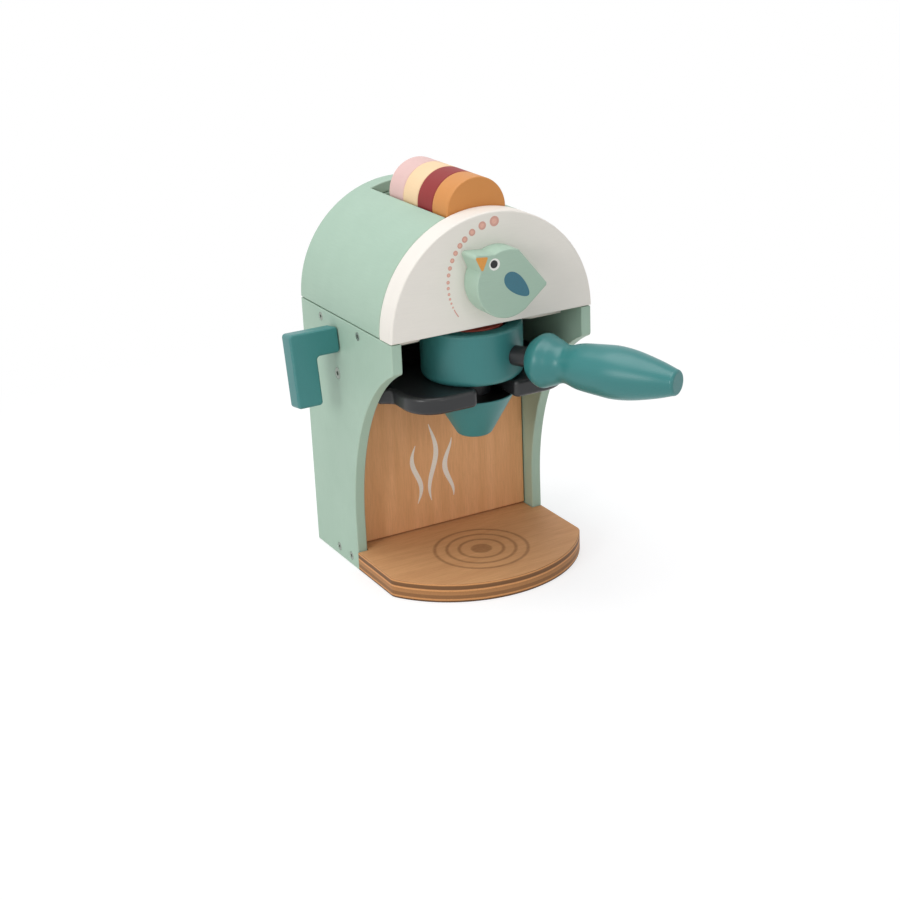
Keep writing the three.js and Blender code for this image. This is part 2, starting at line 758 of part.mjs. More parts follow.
/** Handle: a black dowel from the cup's side, and a turned grip glued on its end. */
function addHandle() {
  const handle = new THREE.Group();
  handle.position.z = handleHeight;
  handle.rotation.z = handleAngle;
  machine.add(handle);
  const outward = (mesh, distance) => {
    mesh.rotation.z = Math.PI;
    mesh.position.y = -distance;
    return mesh;
  };
  const dowelStart = cupRadius - handleDowelInCup + gluedGap;
  const dowelLength = gripStart + handleDowelInGrip - gluedGap - dowelStart;
  outward(piece("handle_dowel", drum(handleDowelRadius, dowelLength), blackPaint, handle), dowelStart);

  const knots = gripOutlineShares.map(
    ([along, width]) => new THREE.Vector2(width * gripRadius, along * gripLength),
  );
  const profile = new THREE.SplineCurve(knots).getPoints(gripSteps);
  const last = profile.at(-1);
  const end = rounded([[last.x, last.y], [last.x, gripLength, gripEndRounding], [0, gripLength]]);
  const outline = [new THREE.Vector2(0, 0), ...profile, ...end.slice(1)];
  const gripShape = new THREE.LatheGeometry(outline, turnedSides);
  const grip = outward(piece("handle_grip", gripShape, tealPaint, handle), gripStart);
  const socketDepth = handleDowelInGrip + overrun;
  const socket = outward(drill(handleDowelRadius + gluedGap, socketDepth), gripStart - overrun);
  handle.add(socket);
  carve(grip, [socket]);
  handle.remove(socket);
}

addBase();
addSidePanels();
addCrossBoards();
addDeck();
addFork();
addHead();
addTrough();
addChannelPods();
addDial();
addClickMechanism();
addWand();
addPortafilter();
addHandle();
[...sideHoles, ...forkScrews, ...rearScrews, clickScrew].forEach(addScrew);

export default machine;
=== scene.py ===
"""Looks of a painted wooden toy coffee maker: boards, turned pieces, inks and screws, round its frame."""

import math

import bpy
import numpy as np
from mathutils import Matrix, Vector
from mathutils.geometry import delaunay_2d_cdt


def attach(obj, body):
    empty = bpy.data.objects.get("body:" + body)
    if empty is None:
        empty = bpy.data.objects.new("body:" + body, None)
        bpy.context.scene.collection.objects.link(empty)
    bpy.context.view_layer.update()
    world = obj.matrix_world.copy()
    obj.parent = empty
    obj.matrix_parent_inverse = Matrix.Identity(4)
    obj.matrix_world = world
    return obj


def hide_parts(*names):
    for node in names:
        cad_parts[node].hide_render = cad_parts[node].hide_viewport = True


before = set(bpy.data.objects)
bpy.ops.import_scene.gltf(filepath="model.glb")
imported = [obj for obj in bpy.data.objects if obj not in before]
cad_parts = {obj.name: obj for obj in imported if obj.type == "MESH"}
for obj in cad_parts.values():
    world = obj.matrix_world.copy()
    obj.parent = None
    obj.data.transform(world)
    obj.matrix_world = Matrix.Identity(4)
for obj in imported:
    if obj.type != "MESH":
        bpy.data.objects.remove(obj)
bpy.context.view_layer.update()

mm = 0.001
degree = math.pi / 180

# Body, as in the CAD
half_width = 75 * mm
inner_half_width = 67.2 * mm
front_y = -32 * mm
rear_y = 106.2 * mm
seam_height = 183.5 * mm
side_thickness = 7.5 * mm
side_top = 182.8 * mm
board_thickness = 8 * mm
board_gap = 0.3 * mm

# Base board
base_thickness = 13.8 * mm
base_reach = 55.5 * mm
base_front_radius = 87 * mm
base_corner_radius = 9 * mm
base_shoulder_y = 38.8 * mm

# Side panel outline
column_front_y = 39.1 * mm
cutout_spring_height = 36.2 * mm
cutout_semi_depth = 106.7 * mm
side_nose_y = -31 * mm
side_nose_bottom = 162.7 * mm
side_nose_radius = 3 * mm

# Boards between the sides
boards_bottom = 14.1 * mm
back_panel_bottom = 14.6 * mm
back_panel_half_width = 66.8 * mm
back_panel_y = 49.4 * mm
back_panel_top = 150 * mm
deck_bottom = 173 * mm
deck_thickness = 7.5 * mm
deck_rounding = 0.5 * mm
deck_front_y = -5.5 * mm
deck_back_y = 97.9 * mm
deck_notch_radius = 38.5 * mm
deck_mouth_radius = 6 * mm

# Fork
fork_bottom = 130 * mm
fork_thickness = 12 * mm
fork_front_y = -33 * mm
fork_half_width = 59 * mm
fork_corner_radius = 21 * mm
fork_shoulder_front_y = 3 * mm
fork_shoulder_back_y = 9 * mm
fork_back_y = 49.1 * mm
fork_slot_half_width = 14 * mm
fork_tip_radius = 4 * mm
fork_rounding = 2.8 * mm

# Head
face_thickness = 17.8 * mm
hood_front_y = -13.9 * mm
hood_inner_radius = 67.5 * mm
hood_end_thickness = 13.3 * mm
hood_end_radius = 67.2 * mm
channel_end_y = 92.9 * mm
channel_half_width = 23 * mm
channel_wall = 5.7 * mm
trough_floor_height = 233.75 * mm
trough_bottom = 227.75 * mm

# Pods
pod_radius = 21.75 * mm
pod_thickness = 20 * mm
pod_rounding = 0.9 * mm
pod_first_y = -13.6 * mm
pod_pitch = 20.3 * mm
pod_height = 255.8 * mm
pod_seat_height = 158.2 * mm

# Dial
dial_x = 1 * mm
dial_height = 215 * mm
dial_back_y = -32.3 * mm
dial_thickness = 17.5 * mm
dial_body_radius = 22.6 * mm
dial_tail = {"length": 30 * mm, "angle": -9.5 * degree, "from": -54 * degree, "to": 67 * degree}
dial_beak = {"length": 33.2 * mm, "angle": 138.3 * degree, "from": 114 * degree, "to": 152.5 * degree}
dial_tip_radius = 2 * mm
dial_rounding = 1 * mm
spindle_hole_radius = 4.3 * mm

# Steam wand
wand_y = 53.4 * mm
wand_height = 166.6 * mm
wand_gap = 0.3 * mm
wand_reach = 35.4 * mm
wand_arm_height = 17.6 * mm
wand_drop_width = 18.2 * mm
wand_total_height = 50.5 * mm
wand_thickness = 14 * mm
wand_corner_radius = 2.5 * mm
wand_rounding = 1.7 * mm
wand_lean = 9 * degree
wand_hole_radius = 4.3 * mm

# Portafilter
cup_radius = 34.6 * mm
cup_bottom = 142.3 * mm
cup_height = 35.9 * mm
cup_foot_radius = 5 * mm
cup_lip_radius = 2 * mm
cup_recess_radius = 23.5 * mm
cup_recess_depth = 20.3 * mm
neck_radius = 12.5 * mm
neck_bottom = 123.8 * mm
neck_top = 148.2 * mm
spout_top_radius = 28.5 * mm
spout_bottom_radius = 11.5 * mm
spout_bottom = 99.5 * mm
spout_height = 30.2 * mm
spout_rounding = 3.5 * mm
handle_height = 159.4 * mm
handle_angle = 26.7 * degree
dowel_radius = 6.75 * mm
dowel_start = 26.3 * mm
dowel_length = 32.4 * mm
grip_start = 46.8 * mm
grip_length = 107.8 * mm
grip_radius = 18.3 * mm
grip_end_rounding = 2.2 * mm
# Outline of the grip: place along it and radius there, as shares of its length and radius
grip_outline_shares = [
    (0, 0.46), (0.03, 0.74), (0.1, 0.985), (0.17, 0.87), (0.255, 0.69), (0.36, 0.83),
    (0.5, 0.91), (0.6, 0.94), (0.72, 0.865), (0.87, 0.665), (0.98, 0.466),
]

# Screws
small_screw = {"head": 2.85 * mm, "depth": 2 * mm, "shank": 1.5 * mm, "length": 22 * mm}
large_screw = {"head": 4 * mm, "depth": 2.4 * mm, "shank": 1.9 * mm, "length": 26 * mm}
screw_head_gap = 0.35 * mm
screw_gap = 0.15 * mm
screw_socket_depth = 1.2 * mm
screw_socket_share = 0.45
screw_edge = 0.3 * mm
deck_screw_front_y = 18.2 * mm
deck_screw_rear_y = 74.9 * mm
back_screw_height = 141.6 * mm
base_screw_front_y = 50.3 * mm
base_screw_rear_y = 69.8 * mm
rear_screw_x = 45 * mm
fork_screw_x = 40 * mm

# Finish
board_rounding = 0.9 * mm
face_rounding = 1.3 * mm
thin_rounding = 0.3 * mm
largest_worn_radius = 4.1 * mm
ink_height = 0.06 * mm
wear_reach = 1.3 * mm

# Steps on round stretches
arris_steps = 4
corner_step = 10 * degree
curve_steps = 72
turned_sides = 96
hole_sides = 32
screw_sides = 36
grip_steps = 120
side_nose_steps = 3
trough_edge_steps = 4
hood_side_steps = 36
hood_window_steps = 24
hood_length_steps = 20
sharp_angle = 40 * degree
fill_tolerance_in_mm = 0.00001

# Camera, fitted to the photograph's edges
camera_place = Vector((-0.54559, -0.98932, 0.52508))
camera_yaw = 27.996 * degree
camera_pitch = 21.201 * degree
camera_roll = -2.5175 * degree
camera_lens = 70.944
camera_sensor = 36


def make_camera():
    """Camera at the photograph's angle: it rolls about its own view, pitches down and turns to the right."""
    data = bpy.data.cameras.new("photo_camera")
    data.lens = camera_lens
    data.sensor_width = camera_sensor
    camera = bpy.data.objects.new("photo_camera", data)
    bpy.context.scene.collection.objects.link(camera)
    yaw = Matrix.Rotation(-camera_yaw, 4, "Z")
    pitch = Matrix.Rotation(math.pi / 2 - camera_pitch, 4, "X")
    roll = Matrix.Rotation(camera_roll, 4, "Z")
    camera.matrix_world = Matrix.Translation(camera_place) @ yaw @ pitch @ roll
    bpy.context.scene.camera = camera


make_camera()


# Outlines

def unit(vector):
    return vector / np.linalg.norm(vector)


def arc(x, y, radius, start, end, steps=curve_steps):
    """Points on a circle about (x, y) at equal angles, both ends included, as unrounded corners."""
    turn = np.linspace(start, end, steps + 1)
    return np.column_stack([x + radius * np.cos(turn), y + radius * np.sin(turn), np.zeros(steps + 1)])


def arc_between(centre, start, end, wear):
    """Shorter arc about a centre: the first spoke turned by equal shares of the angle to the last one."""
    first = start - centre
    last = end - centre
    angle = math.atan2(first[0] * last[1] - first[1] * last[0], first @ last)
    share = np.linspace(0, 1, max(arris_steps, math.ceil(abs(angle) / corner_step)) + 1)
    turn = share * angle
    x = centre[0] + first[0] * np.cos(turn) - first[1] * np.sin(turn)
    y = centre[1] + first[0] * np.sin(turn) + first[1] * np.cos(turn)
    return np.column_stack([x, y, wear * np.sin(math.pi * share)])


def rounded(corners, closed=True):
    """Outline through [x, y, radius] corners: a corner turns by the arc that touches both of its sides.
    The third column is 1 in the middle of a small arc and 0 on plain stretches, for the wear on arrises."""
    corners = np.asarray(corners, float)
    rows = []
    for i, (x, y, radius) in enumerate(corners):
        at_end = not closed and i in (0, len(corners) - 1)
        if radius == 0 or at_end:
            rows.append([[x, y, 0]])
            continue
        corner = np.array([x, y])
        before = unit(corners[i - 1][:2] - corner)
        after = unit(corners[(i + 1) % len(corners)][:2] - corner)
        half = math.acos(np.clip(before @ after, -1, 1)) / 2
        centre = corner + unit(before + after) * (radius / math.sin(half))
        reach = radius / math.tan(half)
        worn = 1.0 if radius < largest_worn_radius else 0.0
        rows.append(arc_between(centre, corner + before * reach, corner + after * reach, worn))
    return np.concatenate(rows)


def rectangle(x0, y0, x1, y1):
    return np.array([[x0, y0, 0], [x1, y0, 0], [x1, y1, 0], [x0, y1, 0]])


def mirrored(half):
    """Outline that is alike left and right: the right half, from its first point on the middle line, and then
    the half's mirror image back to that point."""
    half = np.asarray(half, float)
    return np.concatenate([half, half[:0:-1] * (-1, 1, 1)])


def anticlockwise(outline):
    """The outline, turned round if its area, half the sum of its corners' cross products, is negative."""
    after = np.roll(outline, -1, axis=0)
    area = np.sum(outline[:, 0] * after[:, 1] - outline[:, 1] * after[:, 0])
    return outline if area > 0 else outline[::-1]


def inset(outline, distances):
    """The outline moved inwards by each distance: a point goes along the sum of its two sides' inward
    normals, divided by one plus their cosine, so that both sides move by the whole distance."""
    side = np.roll(outline, -1, axis=0) - outline
    normal = np.column_stack([-side[:, 1], side[:, 0]])
    normal = normal / np.linalg.norm(normal, axis=1, keepdims=True)
    before = np.roll(normal, 1, axis=0)
    cosine = np.sum(normal * before, axis=1, keepdims=True)
    mitre = (normal + before) / (1 + cosine)
    return outline[None] + np.asarray(distances)[:, None, None] * mitre[None]


# Surfaces, as arrays of points, quads, triangles and wear

def grid_faces(rows, columns, closed=True):
    """Quads of a grid of points, facing along (next column) x (next row)."""
    row = np.arange(rows - 1)[:, None] * columns
    column = np.arange(columns if closed else columns - 1)[None, :]
    after = (column + 1) % columns
    corners = [row + column, row + after, row + columns + after, row + columns + column]
    return np.stack(corners, axis=-1).reshape(-1, 4)


def surface(points, quads, triangles, wear):
    """Points, faces and each point's wear, as they go into a mesh."""
    return {"points": points, "quads": quads, "triangles": triangles, "wear": wear}


def join(surfaces):
    """Several surfaces as one: each one's faces count on from the points before it."""
    starts = np.cumsum([0] + [len(s["points"]) for s in surfaces[:-1]])
    return {
        "points": np.concatenate([s["points"] for s in surfaces]),
        "quads": np.concatenate([s["quads"] + n for s, n in zip(surfaces, starts)]),
        "triangles": np.concatenate([s["triangles"] + n for s, n in zip(surfaces, starts)]),
        "wear": np.concatenate([s["wear"] for s in surfaces]),
    }


def moved(shape, place):
    """A surface taken through a place's matrix."""
    matrix = np.array(place)
    return {**shape, "points": shape["points"] @ matrix[:3, :3].T + matrix[:3, 3]}


def fill(rings, holes):
    """Triangles of a flat region, anticlockwise. They keep the sides of all rings, and apart from that no
    triangle's circle holds another corner. Those whose middle lies in a round hole are left out."""
    points = np.concatenate(rings)
    index = np.arange(len(points))
    starts = np.cumsum([0] + [len(ring) for ring in rings])
    after = np.concatenate([np.roll(index[a:b], -1) for a, b in zip(starts[:-1], starts[1:])])
    edges = np.column_stack([index, after])
    made = delaunay_2d_cdt((points / mm).tolist(), edges.tolist(), [], 1, fill_tolerance_in_mm)
    origin = np.array([first[0] for first in made[3]])
    triangles = origin[np.array(made[2])]
    corners = points[triangles]
    one = corners[:, 1] - corners[:, 0]
    two = corners[:, 2] - corners[:, 0]
    turned_round = one[:, 0] * two[:, 1] - one[:, 1] * two[:, 0] < 0
    triangles[turned_round] = triangles[turned_round][:, ::-1]
    middle = corners.mean(axis=1)
    kept = np.ones(len(triangles), bool)
    for x, y, radius in holes:
        kept &= np.hypot(middle[:, 0] - x, middle[:, 1] - y) > radius
    return triangles[kept]


def edge_wall(outline, thickness, rounding):
    """A board's edge from its foot up, and its wear: the outline at each height of a profile that is a
    quarter circle at both arrises, moved inwards by the profile's distance."""
    turn = np.linspace(0, math.pi / 2, arris_steps + 1)
    distance = rounding * (1 - np.sin(turn))
    height = rounding * (1 - np.cos(turn))
    worn = np.sin(2 * turn)
    rings = inset(outline[:, :2], np.concatenate([distance, distance[::-1]]))
    heights = np.concatenate([height, thickness - height[::-1]])[:, None, None]
    wear = np.maximum(np.concatenate([worn, worn[::-1]])[:, None], outline[None, :, 2])
    wear[[0, -1]] = 0
    return np.concatenate([rings, heights + 0 * rings[:, :, :1]], axis=2), wear


def hole_wall(x, y, profile):
    """A hole's wall from the upper cap down: its (radius, height) profile turned about its axis."""
    turn = np.arange(hole_sides) * (2 * math.pi / hole_sides)
    radius, height = np.array(profile).T[:, :, None]
    return np.stack([x + radius * np.cos(turn), y + radius * np.sin(turn), height + 0 * turn], axis=2)


def board(outline, thickness, rounding, holes=()):
    """A board along +Z: the wall of its edge and those of its (x, y, profile) holes, closed by an upper and a
    lower flat cap."""
    edge, edge_wear = edge_wall(anticlockwise(np.asarray(outline, float)), thickness, rounding)
    walls = [edge] + [hole_wall(*hole) for hole in holes]
    counts = [wall.shape[0] * wall.shape[1] for wall in walls]
    starts = np.cumsum([0] + counts[:-1])
    quads = [grid_faces(*wall.shape[:2]) + start for wall, start in zip(walls, starts)]
    caps = []
    for edge_row, hole_row in ((-1, 0), (0, -1)):
        rows = [edge_row] + [hole_row] * len(holes)
        rings = [wall[row, :, :2] for wall, row in zip(walls, rows)]
        index = [
            start + np.arange(count).reshape(wall.shape[:2])[row]
            for wall, start, count, row in zip(walls, starts, counts, rows)
        ]
        openings = [(x, y, profile[hole_row][0]) for x, y, profile in holes]
        caps.append(np.concatenate(index)[fill(rings, openings)])
    upper, lower = caps
    points = np.concatenate([wall.reshape(-1, 3) for wall in walls])
    wear = np.concatenate([edge_wear.ravel(), np.zeros(len(points) - counts[0])])
    return surface(points, np.concatenate(quads), np.concatenate([upper, lower[:, ::-1]]), wear)


def turned(profile, sides=turned_sides, six_sided=()):
    """A turned surface about +Z: each (radius, height, wear) point of the profile goes round the axis, and
    its first and last points lie on the axis. A ring named in six_sided is a hexagon: its radius is divided
    by the cosine of the angle from the middle of the nearest of its six sides."""
    profile = np.asarray(profile, float)
    turn = np.arange(sides) * (2 * math.pi / sides)
    radius = np.repeat(profile[1:-1, 0][:, None], sides, axis=1)
    from_middle = np.mod(turn, math.pi / 3) - math.pi / 6
    rings = [ring - 1 for ring in six_sided]
    radius[rings] = radius[rings] * math.cos(math.pi / 6) / np.cos(from_middle)
    height = np.repeat(profile[1:-1, 1][:, None], sides, axis=1)
    around = np.stack([radius * np.cos(turn), radius * np.sin(turn), height], axis=2).reshape(-1, 3)
    foot = [[0, 0, profile[0, 1]]]
    head = [[0, 0, profile[-1, 1]]]
    points = np.concatenate([foot, around, head])
    rows = len(profile) - 2
    first = np.arange(sides) + 1
    second = np.roll(first, -1)
    last = first + (rows - 1) * sides
    last_after = np.roll(last, -1)
    pole = len(points) - 1
    fans = [
        np.column_stack([0 * first, second, first]),
        np.column_stack([0 * first + pole, last, last_after]),
    ]
    wear = np.concatenate([[0], np.repeat(profile[1:-1, 2], sides), [0]])
    return surface(points, grid_faces(rows, sides) + 1, np.concatenate(fans), wear)


def lathed(*corners):
    """A turned surface: its profile goes from the axis through [radius, height, rounding] corners to it."""
    foot = [0, corners[0][1], 0]
    head = [0, corners[-1][1], 0]
    return turned(rounded([foot, *corners, head], closed=False))


def shell(outer, inner, quads, wear):
    """Closed shell between two skins with the same quads: the inner skin is turned round, and each free side
    of the outer one gets a wall down to the inner one. Points that no face uses are dropped."""
    count = len(outer)
    start = quads.ravel()
    end = np.roll(quads, -1, axis=1).ravel()
    free = ~np.isin(start * count + end, end * count + start)
    walls = np.column_stack([end[free], start[free], start[free] + count, end[free] + count])
    faces = np.concatenate([quads, quads[:, ::-1] + count, walls])
    used, compact = np.unique(faces, return_inverse=True)
    points = np.concatenate([outer, inner])[used]
    return surface(points, compact.reshape(-1, 4), np.zeros((0, 3), int), np.concatenate([wear, wear])[used])


def film(outline):
    """A thin layer of ink: the outline's wall, as high as the ink is thick, and its two flat caps."""
    flat_outline = anticlockwise(np.asarray(outline, float)[:, :2])
    columns = len(flat_outline)
    points = np.concatenate([
        np.column_stack([flat_outline, np.full(columns, level)]) for level in (0, ink_height)
    ])
    cap = fill([flat_outline], ())
    caps = np.concatenate([cap + columns, cap[:, ::-1]])
    return surface(points, grid_faces(2, columns), caps, np.ones(2 * columns))


# Places

def flat(height):
    return Matrix.Translation((0, 0, height))


def across(back_y, x=0.0, z=0.0):
    """A board stands in the XZ plane: its lower face is at back_y and it grows towards -Y."""
    turn = Matrix(((1, 0, 0), (0, 0, -1), (0, 1, 0))).to_4x4()
    return Matrix.Translation((x, back_y, z)) @ turn


def along(x):
    """A board stands in the YZ plane: its lower face is at x and it grows towards +X."""
    turn = Matrix(((0, 0, 1), (1, 0, 0), (0, 1, 0))).to_4x4()
    return Matrix.Translation((x, 0, 0)) @ turn


def aim(origin, direction):
    """A turned piece starts at the origin and its axis points in the direction."""
    turn = Vector(direction).to_track_quat("Z", "Y").to_matrix().to_4x4()
    return Matrix.Translation(origin) @ turn


def put(name, shape, place, body, look, stands_for=(), bevel=0.0):
    """A surface becomes a piece in its place in the frame, which rides on a body and stands for CAD nodes."""
    shape = moved(shape, place)
    mesh = bpy.data.meshes.new(name)
    corners = np.concatenate([shape["quads"].ravel(), shape["triangles"].ravel()])
    sizes = np.concatenate([np.full(len(shape["quads"]), 4), np.full(len(shape["triangles"]), 3)])
    mesh.vertices.add(len(shape["points"]))
    mesh.vertices.foreach_set("co", shape["points"].ravel().astype(np.float32))
    mesh.loops.add(len(corners))
    mesh.loops.foreach_set("vertex_index", corners.astype(np.int32))
    mesh.polygons.add(len(sizes))
    mesh.polygons.foreach_set("loop_start", (np.cumsum(sizes) - sizes).astype(np.int32))
    mesh.polygons.foreach_set("use_smooth", np.ones(len(sizes), bool))
    mesh.update(calc_edges=True)
    wear = mesh.attributes.new("arris", "FLOAT", "POINT")
    wear.data.foreach_set("value", shape["wear"].astype(np.float32))
    mesh.set_sharp_from_angle(angle=sharp_angle)
    mesh.materials.append(look)
    piece = bpy.data.objects.new(name, mesh)
    bpy.context.scene.collection.objects.link(piece)
    if bevel:
        soften = piece.modifiers.new("arrises", "BEVEL")
        soften.width = bevel
        soften.segments = arris_steps
        soften.limit_method = "ANGLE"
        soften.angle_limit = sharp_angle
    even = piece.modifiers.new("flat_faces_first", "WEIGHTED_NORMAL")
    even.keep_sharp = True
    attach(piece, body)
    if stands_for:
        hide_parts(*stands_for)


# Materials

def colour(red, green, blue):
    """Linear colour of a display colour in 0 to 255, by the sRGB curve."""
    shown = np.array([red, green, blue]) / 255
    linear = np.where(shown <= 0.04045, shown / 12.92, ((shown + 0.055) / 1.055) ** 2.4)
    return (*linear.tolist(), 1.0)


def toned(base, share):
    """The colour with its light multiplied by a share."""
    return tuple(min(1.0, part * share) for part in base[:3]) + (1.0,)


def add(tree, kind, inputs=None, **settings):
    """A node with its settings. An input that is a socket is linked, and any other is set as a value."""
    made = tree.nodes.new(kind)
    for key, value in settings.items():
        setattr(made, key, value)
    for key, value in (inputs or {}).items():
        if isinstance(value, bpy.types.NodeSocket):
            tree.links.new(value, made.inputs[key])
        else:
            made.inputs[key].default_value = value
    return made


def new_look(name):
    """An empty material and its nodes."""
    look = bpy.data.materials.new(name)
    look.use_nodes = True
    look.node_tree.nodes.clear()
    return look, look.node_tree


def finished(look, tone, roughness, relief, depth, specular=0.5, metallic=0.0):
    """The material with its shader: tone and roughness come from sockets, and the relief has this depth."""
    tree = look.node_tree
    bump = add(tree, "ShaderNodeBump", {"Height": relief, "Distance": depth, "Strength": 1.0})
    shader = add(tree, "ShaderNodeBsdfPrincipled", {
        "Base Color": tone,
        "Roughness": roughness,
        "Specular IOR Level": specular,
        "Metallic": metallic,
        "Normal": bump.outputs["Normal"],
    })
    add(tree, "ShaderNodeOutputMaterial", {"Surface": shader.outputs["BSDF"]})
    return look


def pattern(tree, pitch, stretch=(1, 1, 1), detail=3.0):
    """Noise on the piece's own coordinates, with a grain of this size times the stretch along each axis."""
    spot = add(tree, "ShaderNodeTexCoord").outputs["Object"]
    scale = tuple(1 / (pitch * part) for part in stretch)
    placed = add(tree, "ShaderNodeMapping", {"Vector": spot, "Scale": scale})
    noise = add(tree, "ShaderNodeTexNoise", {"Vector": placed.outputs[0], "Scale": 1.0, "Detail": detail})
    return noise.outputs[0]


def ranged(tree, value, low, high, to_low=0.0, to_high=1.0, smooth=False):
    """A value's stretch from low to high, mapped to another stretch and held at its ends."""
    inputs = {"Value": value, "From Min": low, "From Max": high, "To Min": to_low, "To Max": to_high}
    kind = "SMOOTHSTEP" if smooth else "LINEAR"
    return add(tree, "ShaderNodeMapRange", inputs, interpolation_type=kind).outputs[0]


def maths(tree, operation, first, second=0.0):
    return add(tree, "ShaderNodeMath", {0: first, 1: second}, operation=operation).outputs[0]


def blended(tree, share, first, second):
    """Two colours mixed: the second one's share is the factor."""
    return add(tree, "ShaderNodeMix", {0: share, 6: first, 7: second}, data_type="RGBA").outputs[2]


def coordinates(tree):
    """The x, y and z sockets of the piece's own coordinates."""
    spot = add(tree, "ShaderNodeTexCoord").outputs["Object"]
    return add(tree, "ShaderNodeSeparateXYZ", {0: spot}).outputs


def arris_mark(tree):
    """The mesh's own mark of its arrises, from 0 to 1."""
    return add(tree, "ShaderNodeAttribute", attribute_name="arris").outputs["Fac"]


def worn_on_arrises(tree, tone, share, pale):
    """The tone gives way to a paler one on the arrises, by this share and broken up by noise."""
    broken = ranged(tree, pattern(tree, wear_pitch), 0.2, 0.8, smooth=True)
    worn = maths(tree, "MULTIPLY", arris_mark(tree), broken)
    return blended(tree, maths(tree, "MULTIPLY", worn, share), tone, pale)


grain_pitch = 0.7 * mm
grain_stretch = 14
mottle_pitch = 22 * mm
peel_pitch = 0.9 * mm
wear_pitch = 2.5 * mm
grain_depth = 0.03 * mm
drift_share = 0.95
roughness_drift = 0.06
pale_arris = colour(236, 226, 208)
# Painted shade: a dark brown put where deep shadow falls
painted_shade_brown = colour(24, 18, 16)
axes = {"x": (grain_stretch, 1, 1), "y": (1, grain_stretch, 1), "z": (1, 1, grain_stretch)}


def add_painted_shade(tree, tone, height):
    """Painted shade: the tone gives way to a dark brown above this height, for deep shadow."""
    above = ranged(tree, coordinates(tree)[2], height - thin_rounding, height)
    return blended(tree, above, tone, painted_shade_brown)


def painted(
    name, base, grain, roughness=0.5, grain_share=0.04, worn_share=0.08, specular=0.4, painted_shade_above=None
):
    """Paint on wood: the grain shows faintly through, the tone drifts, arrises are thin and pale, and painted
    shade darkens it above a height where one is given.
    """
    look, tree = new_look(name)
    fibres = pattern(tree, grain_pitch, axes[grain], 4.0)
    mottle = pattern(tree, mottle_pitch)
    peel = pattern(tree, peel_pitch, detail=1.0)
    grained = ranged(tree, fibres, 0.2, 0.8)
    fine = blended(tree, grained, toned(base, 1 - grain_share), toned(base, 1 + grain_share))
    drift = ranged(tree, mottle, 0.1, 0.9, 0.0, 0.6, smooth=True)
    tone = blended(tree, drift, fine, toned(base, drift_share))
    tone = worn_on_arrises(tree, tone, worn_share, pale_arris)
    # Painted shade above a height, where one is given
    if painted_shade_above:
        tone = add_painted_shade(tree, tone, painted_shade_above)
    smoothest = roughness - roughness_drift
    roughest = roughness + roughness_drift
    sheen = ranged(tree, mottle, 0.1, 0.9, smoothest, roughest, smooth=True)
    relief = maths(tree, "MULTIPLY", maths(tree, "ADD", fibres, peel), 0.5)
    return finished(look, tone, sheen, relief, grain_depth, specular)


ply_grain_pitch = 0.9 * mm
ply_band_pitch = 7 * mm
pore_pitch = 0.35 * mm
ply_roughness = (0.5, 0.66)
ply_specular = 0.35
ply_worn_share = 0.15


def ply_top(tree, grain, light, dark):
    """Colour of a stained veneer: broad bands and fine fibres along the grain, with short dark pores."""
    bands = pattern(tree, ply_band_pitch, axes[grain], 2.0)
    fibres = pattern(tree, ply_grain_pitch, axes[grain], 4.0)
    pores = pattern(tree, pore_pitch, tuple(part ** 0.75 for part in axes[grain]), 1.0)
    broad = blended(tree, ranged(tree, bands, 0.2, 0.8, smooth=True), dark, light)
    fine = blended(tree, ranged(tree, fibres, 0.3, 0.8, 0.0, 0.5), broad, toned(dark, 0.78))
    pored = blended(tree, ranged(tree, pores, 0.6, 0.85, 0.0, 0.35), fine, toned(dark, 0.62))
    return pored, fibres


def stained(name, grain, light, dark, painted_shade_above):
    """Stained plywood face with its fibres in relief, and painted shade above this height."""
    look, tree = new_look(name)
    tone, fibres = ply_top(tree, grain, light, dark)
    tone = worn_on_arrises(tree, tone, ply_worn_share, toned(light, 1.25))
    # Painted shade above the given height
    tone = add_painted_shade(tree, tone, painted_shade_above)
    roughness = ranged(tree, fibres, 0.3, 0.7, *ply_roughness)
    return finished(look, tone, roughness, fibres, grain_depth, ply_specular)


ring_centre = (-0.2 * mm, -3.6 * mm)
ring_radii = [15.5 * mm, 24.1 * mm, 32.6 * mm]
ring_disc_radius = 7.4 * mm
ring_half_width = 1.1 * mm
ring_soft = 0.7 * mm
base_light = colour(226, 172, 120)
base_dark = colour(214, 158, 108)
scorch_tone = colour(112, 62, 26)
ply_tone = colour(186, 132, 82)
ply_end_tone = colour(130, 80, 44)
ply_wobble_share = 0.015
# Plies seen on the base's edge: height as a share of the thickness, and how light the ply is there. The dark
# stretch at the foot is partly painted shade, the contact shadow along the floor.
ply_and_foot_shade_shares = [
    (0.0, 0.2), (0.09, 0.25), (0.13, 1.5), (0.18, 1.4), (0.22, 0.6), (0.37, 0.6), (0.41, 1.0), (0.57, 0.9),
    (0.61, 1.6), (0.66, 1.5), (0.7, 0.36), (0.87, 0.42), (0.91, 1.5), (0.955, 1.5), (0.975, 0.7), (1.0, 0.7),
]


def burnt_rings(tree, place):
    """Where the top is burnt: a disc and rings about one point, by the distance from it, with soft edges."""
    x = maths(tree, "SUBTRACT", place[0], ring_centre[0])
    y = maths(tree, "SUBTRACT", place[1], ring_centre[1])
    squares = maths(tree, "ADD", maths(tree, "MULTIPLY", x, x), maths(tree, "MULTIPLY", y, y))
    distance = maths(tree, "SQRT", squares)
    burnt = ranged(tree, distance, ring_disc_radius + ring_soft, ring_disc_radius - ring_soft)
    for radius in ring_radii:
        off = maths(tree, "ABSOLUTE", maths(tree, "SUBTRACT", distance, radius))
        line = ranged(tree, off, ring_half_width + ring_soft, ring_half_width - ring_soft)
        burnt = maths(tree, "MAXIMUM", burnt, line)
    top_low = base_thickness - board_rounding
    top_high = base_thickness - thin_rounding / 2
    return maths(tree, "MULTIPLY", burnt, ranged(tree, place[2], top_low, top_high))


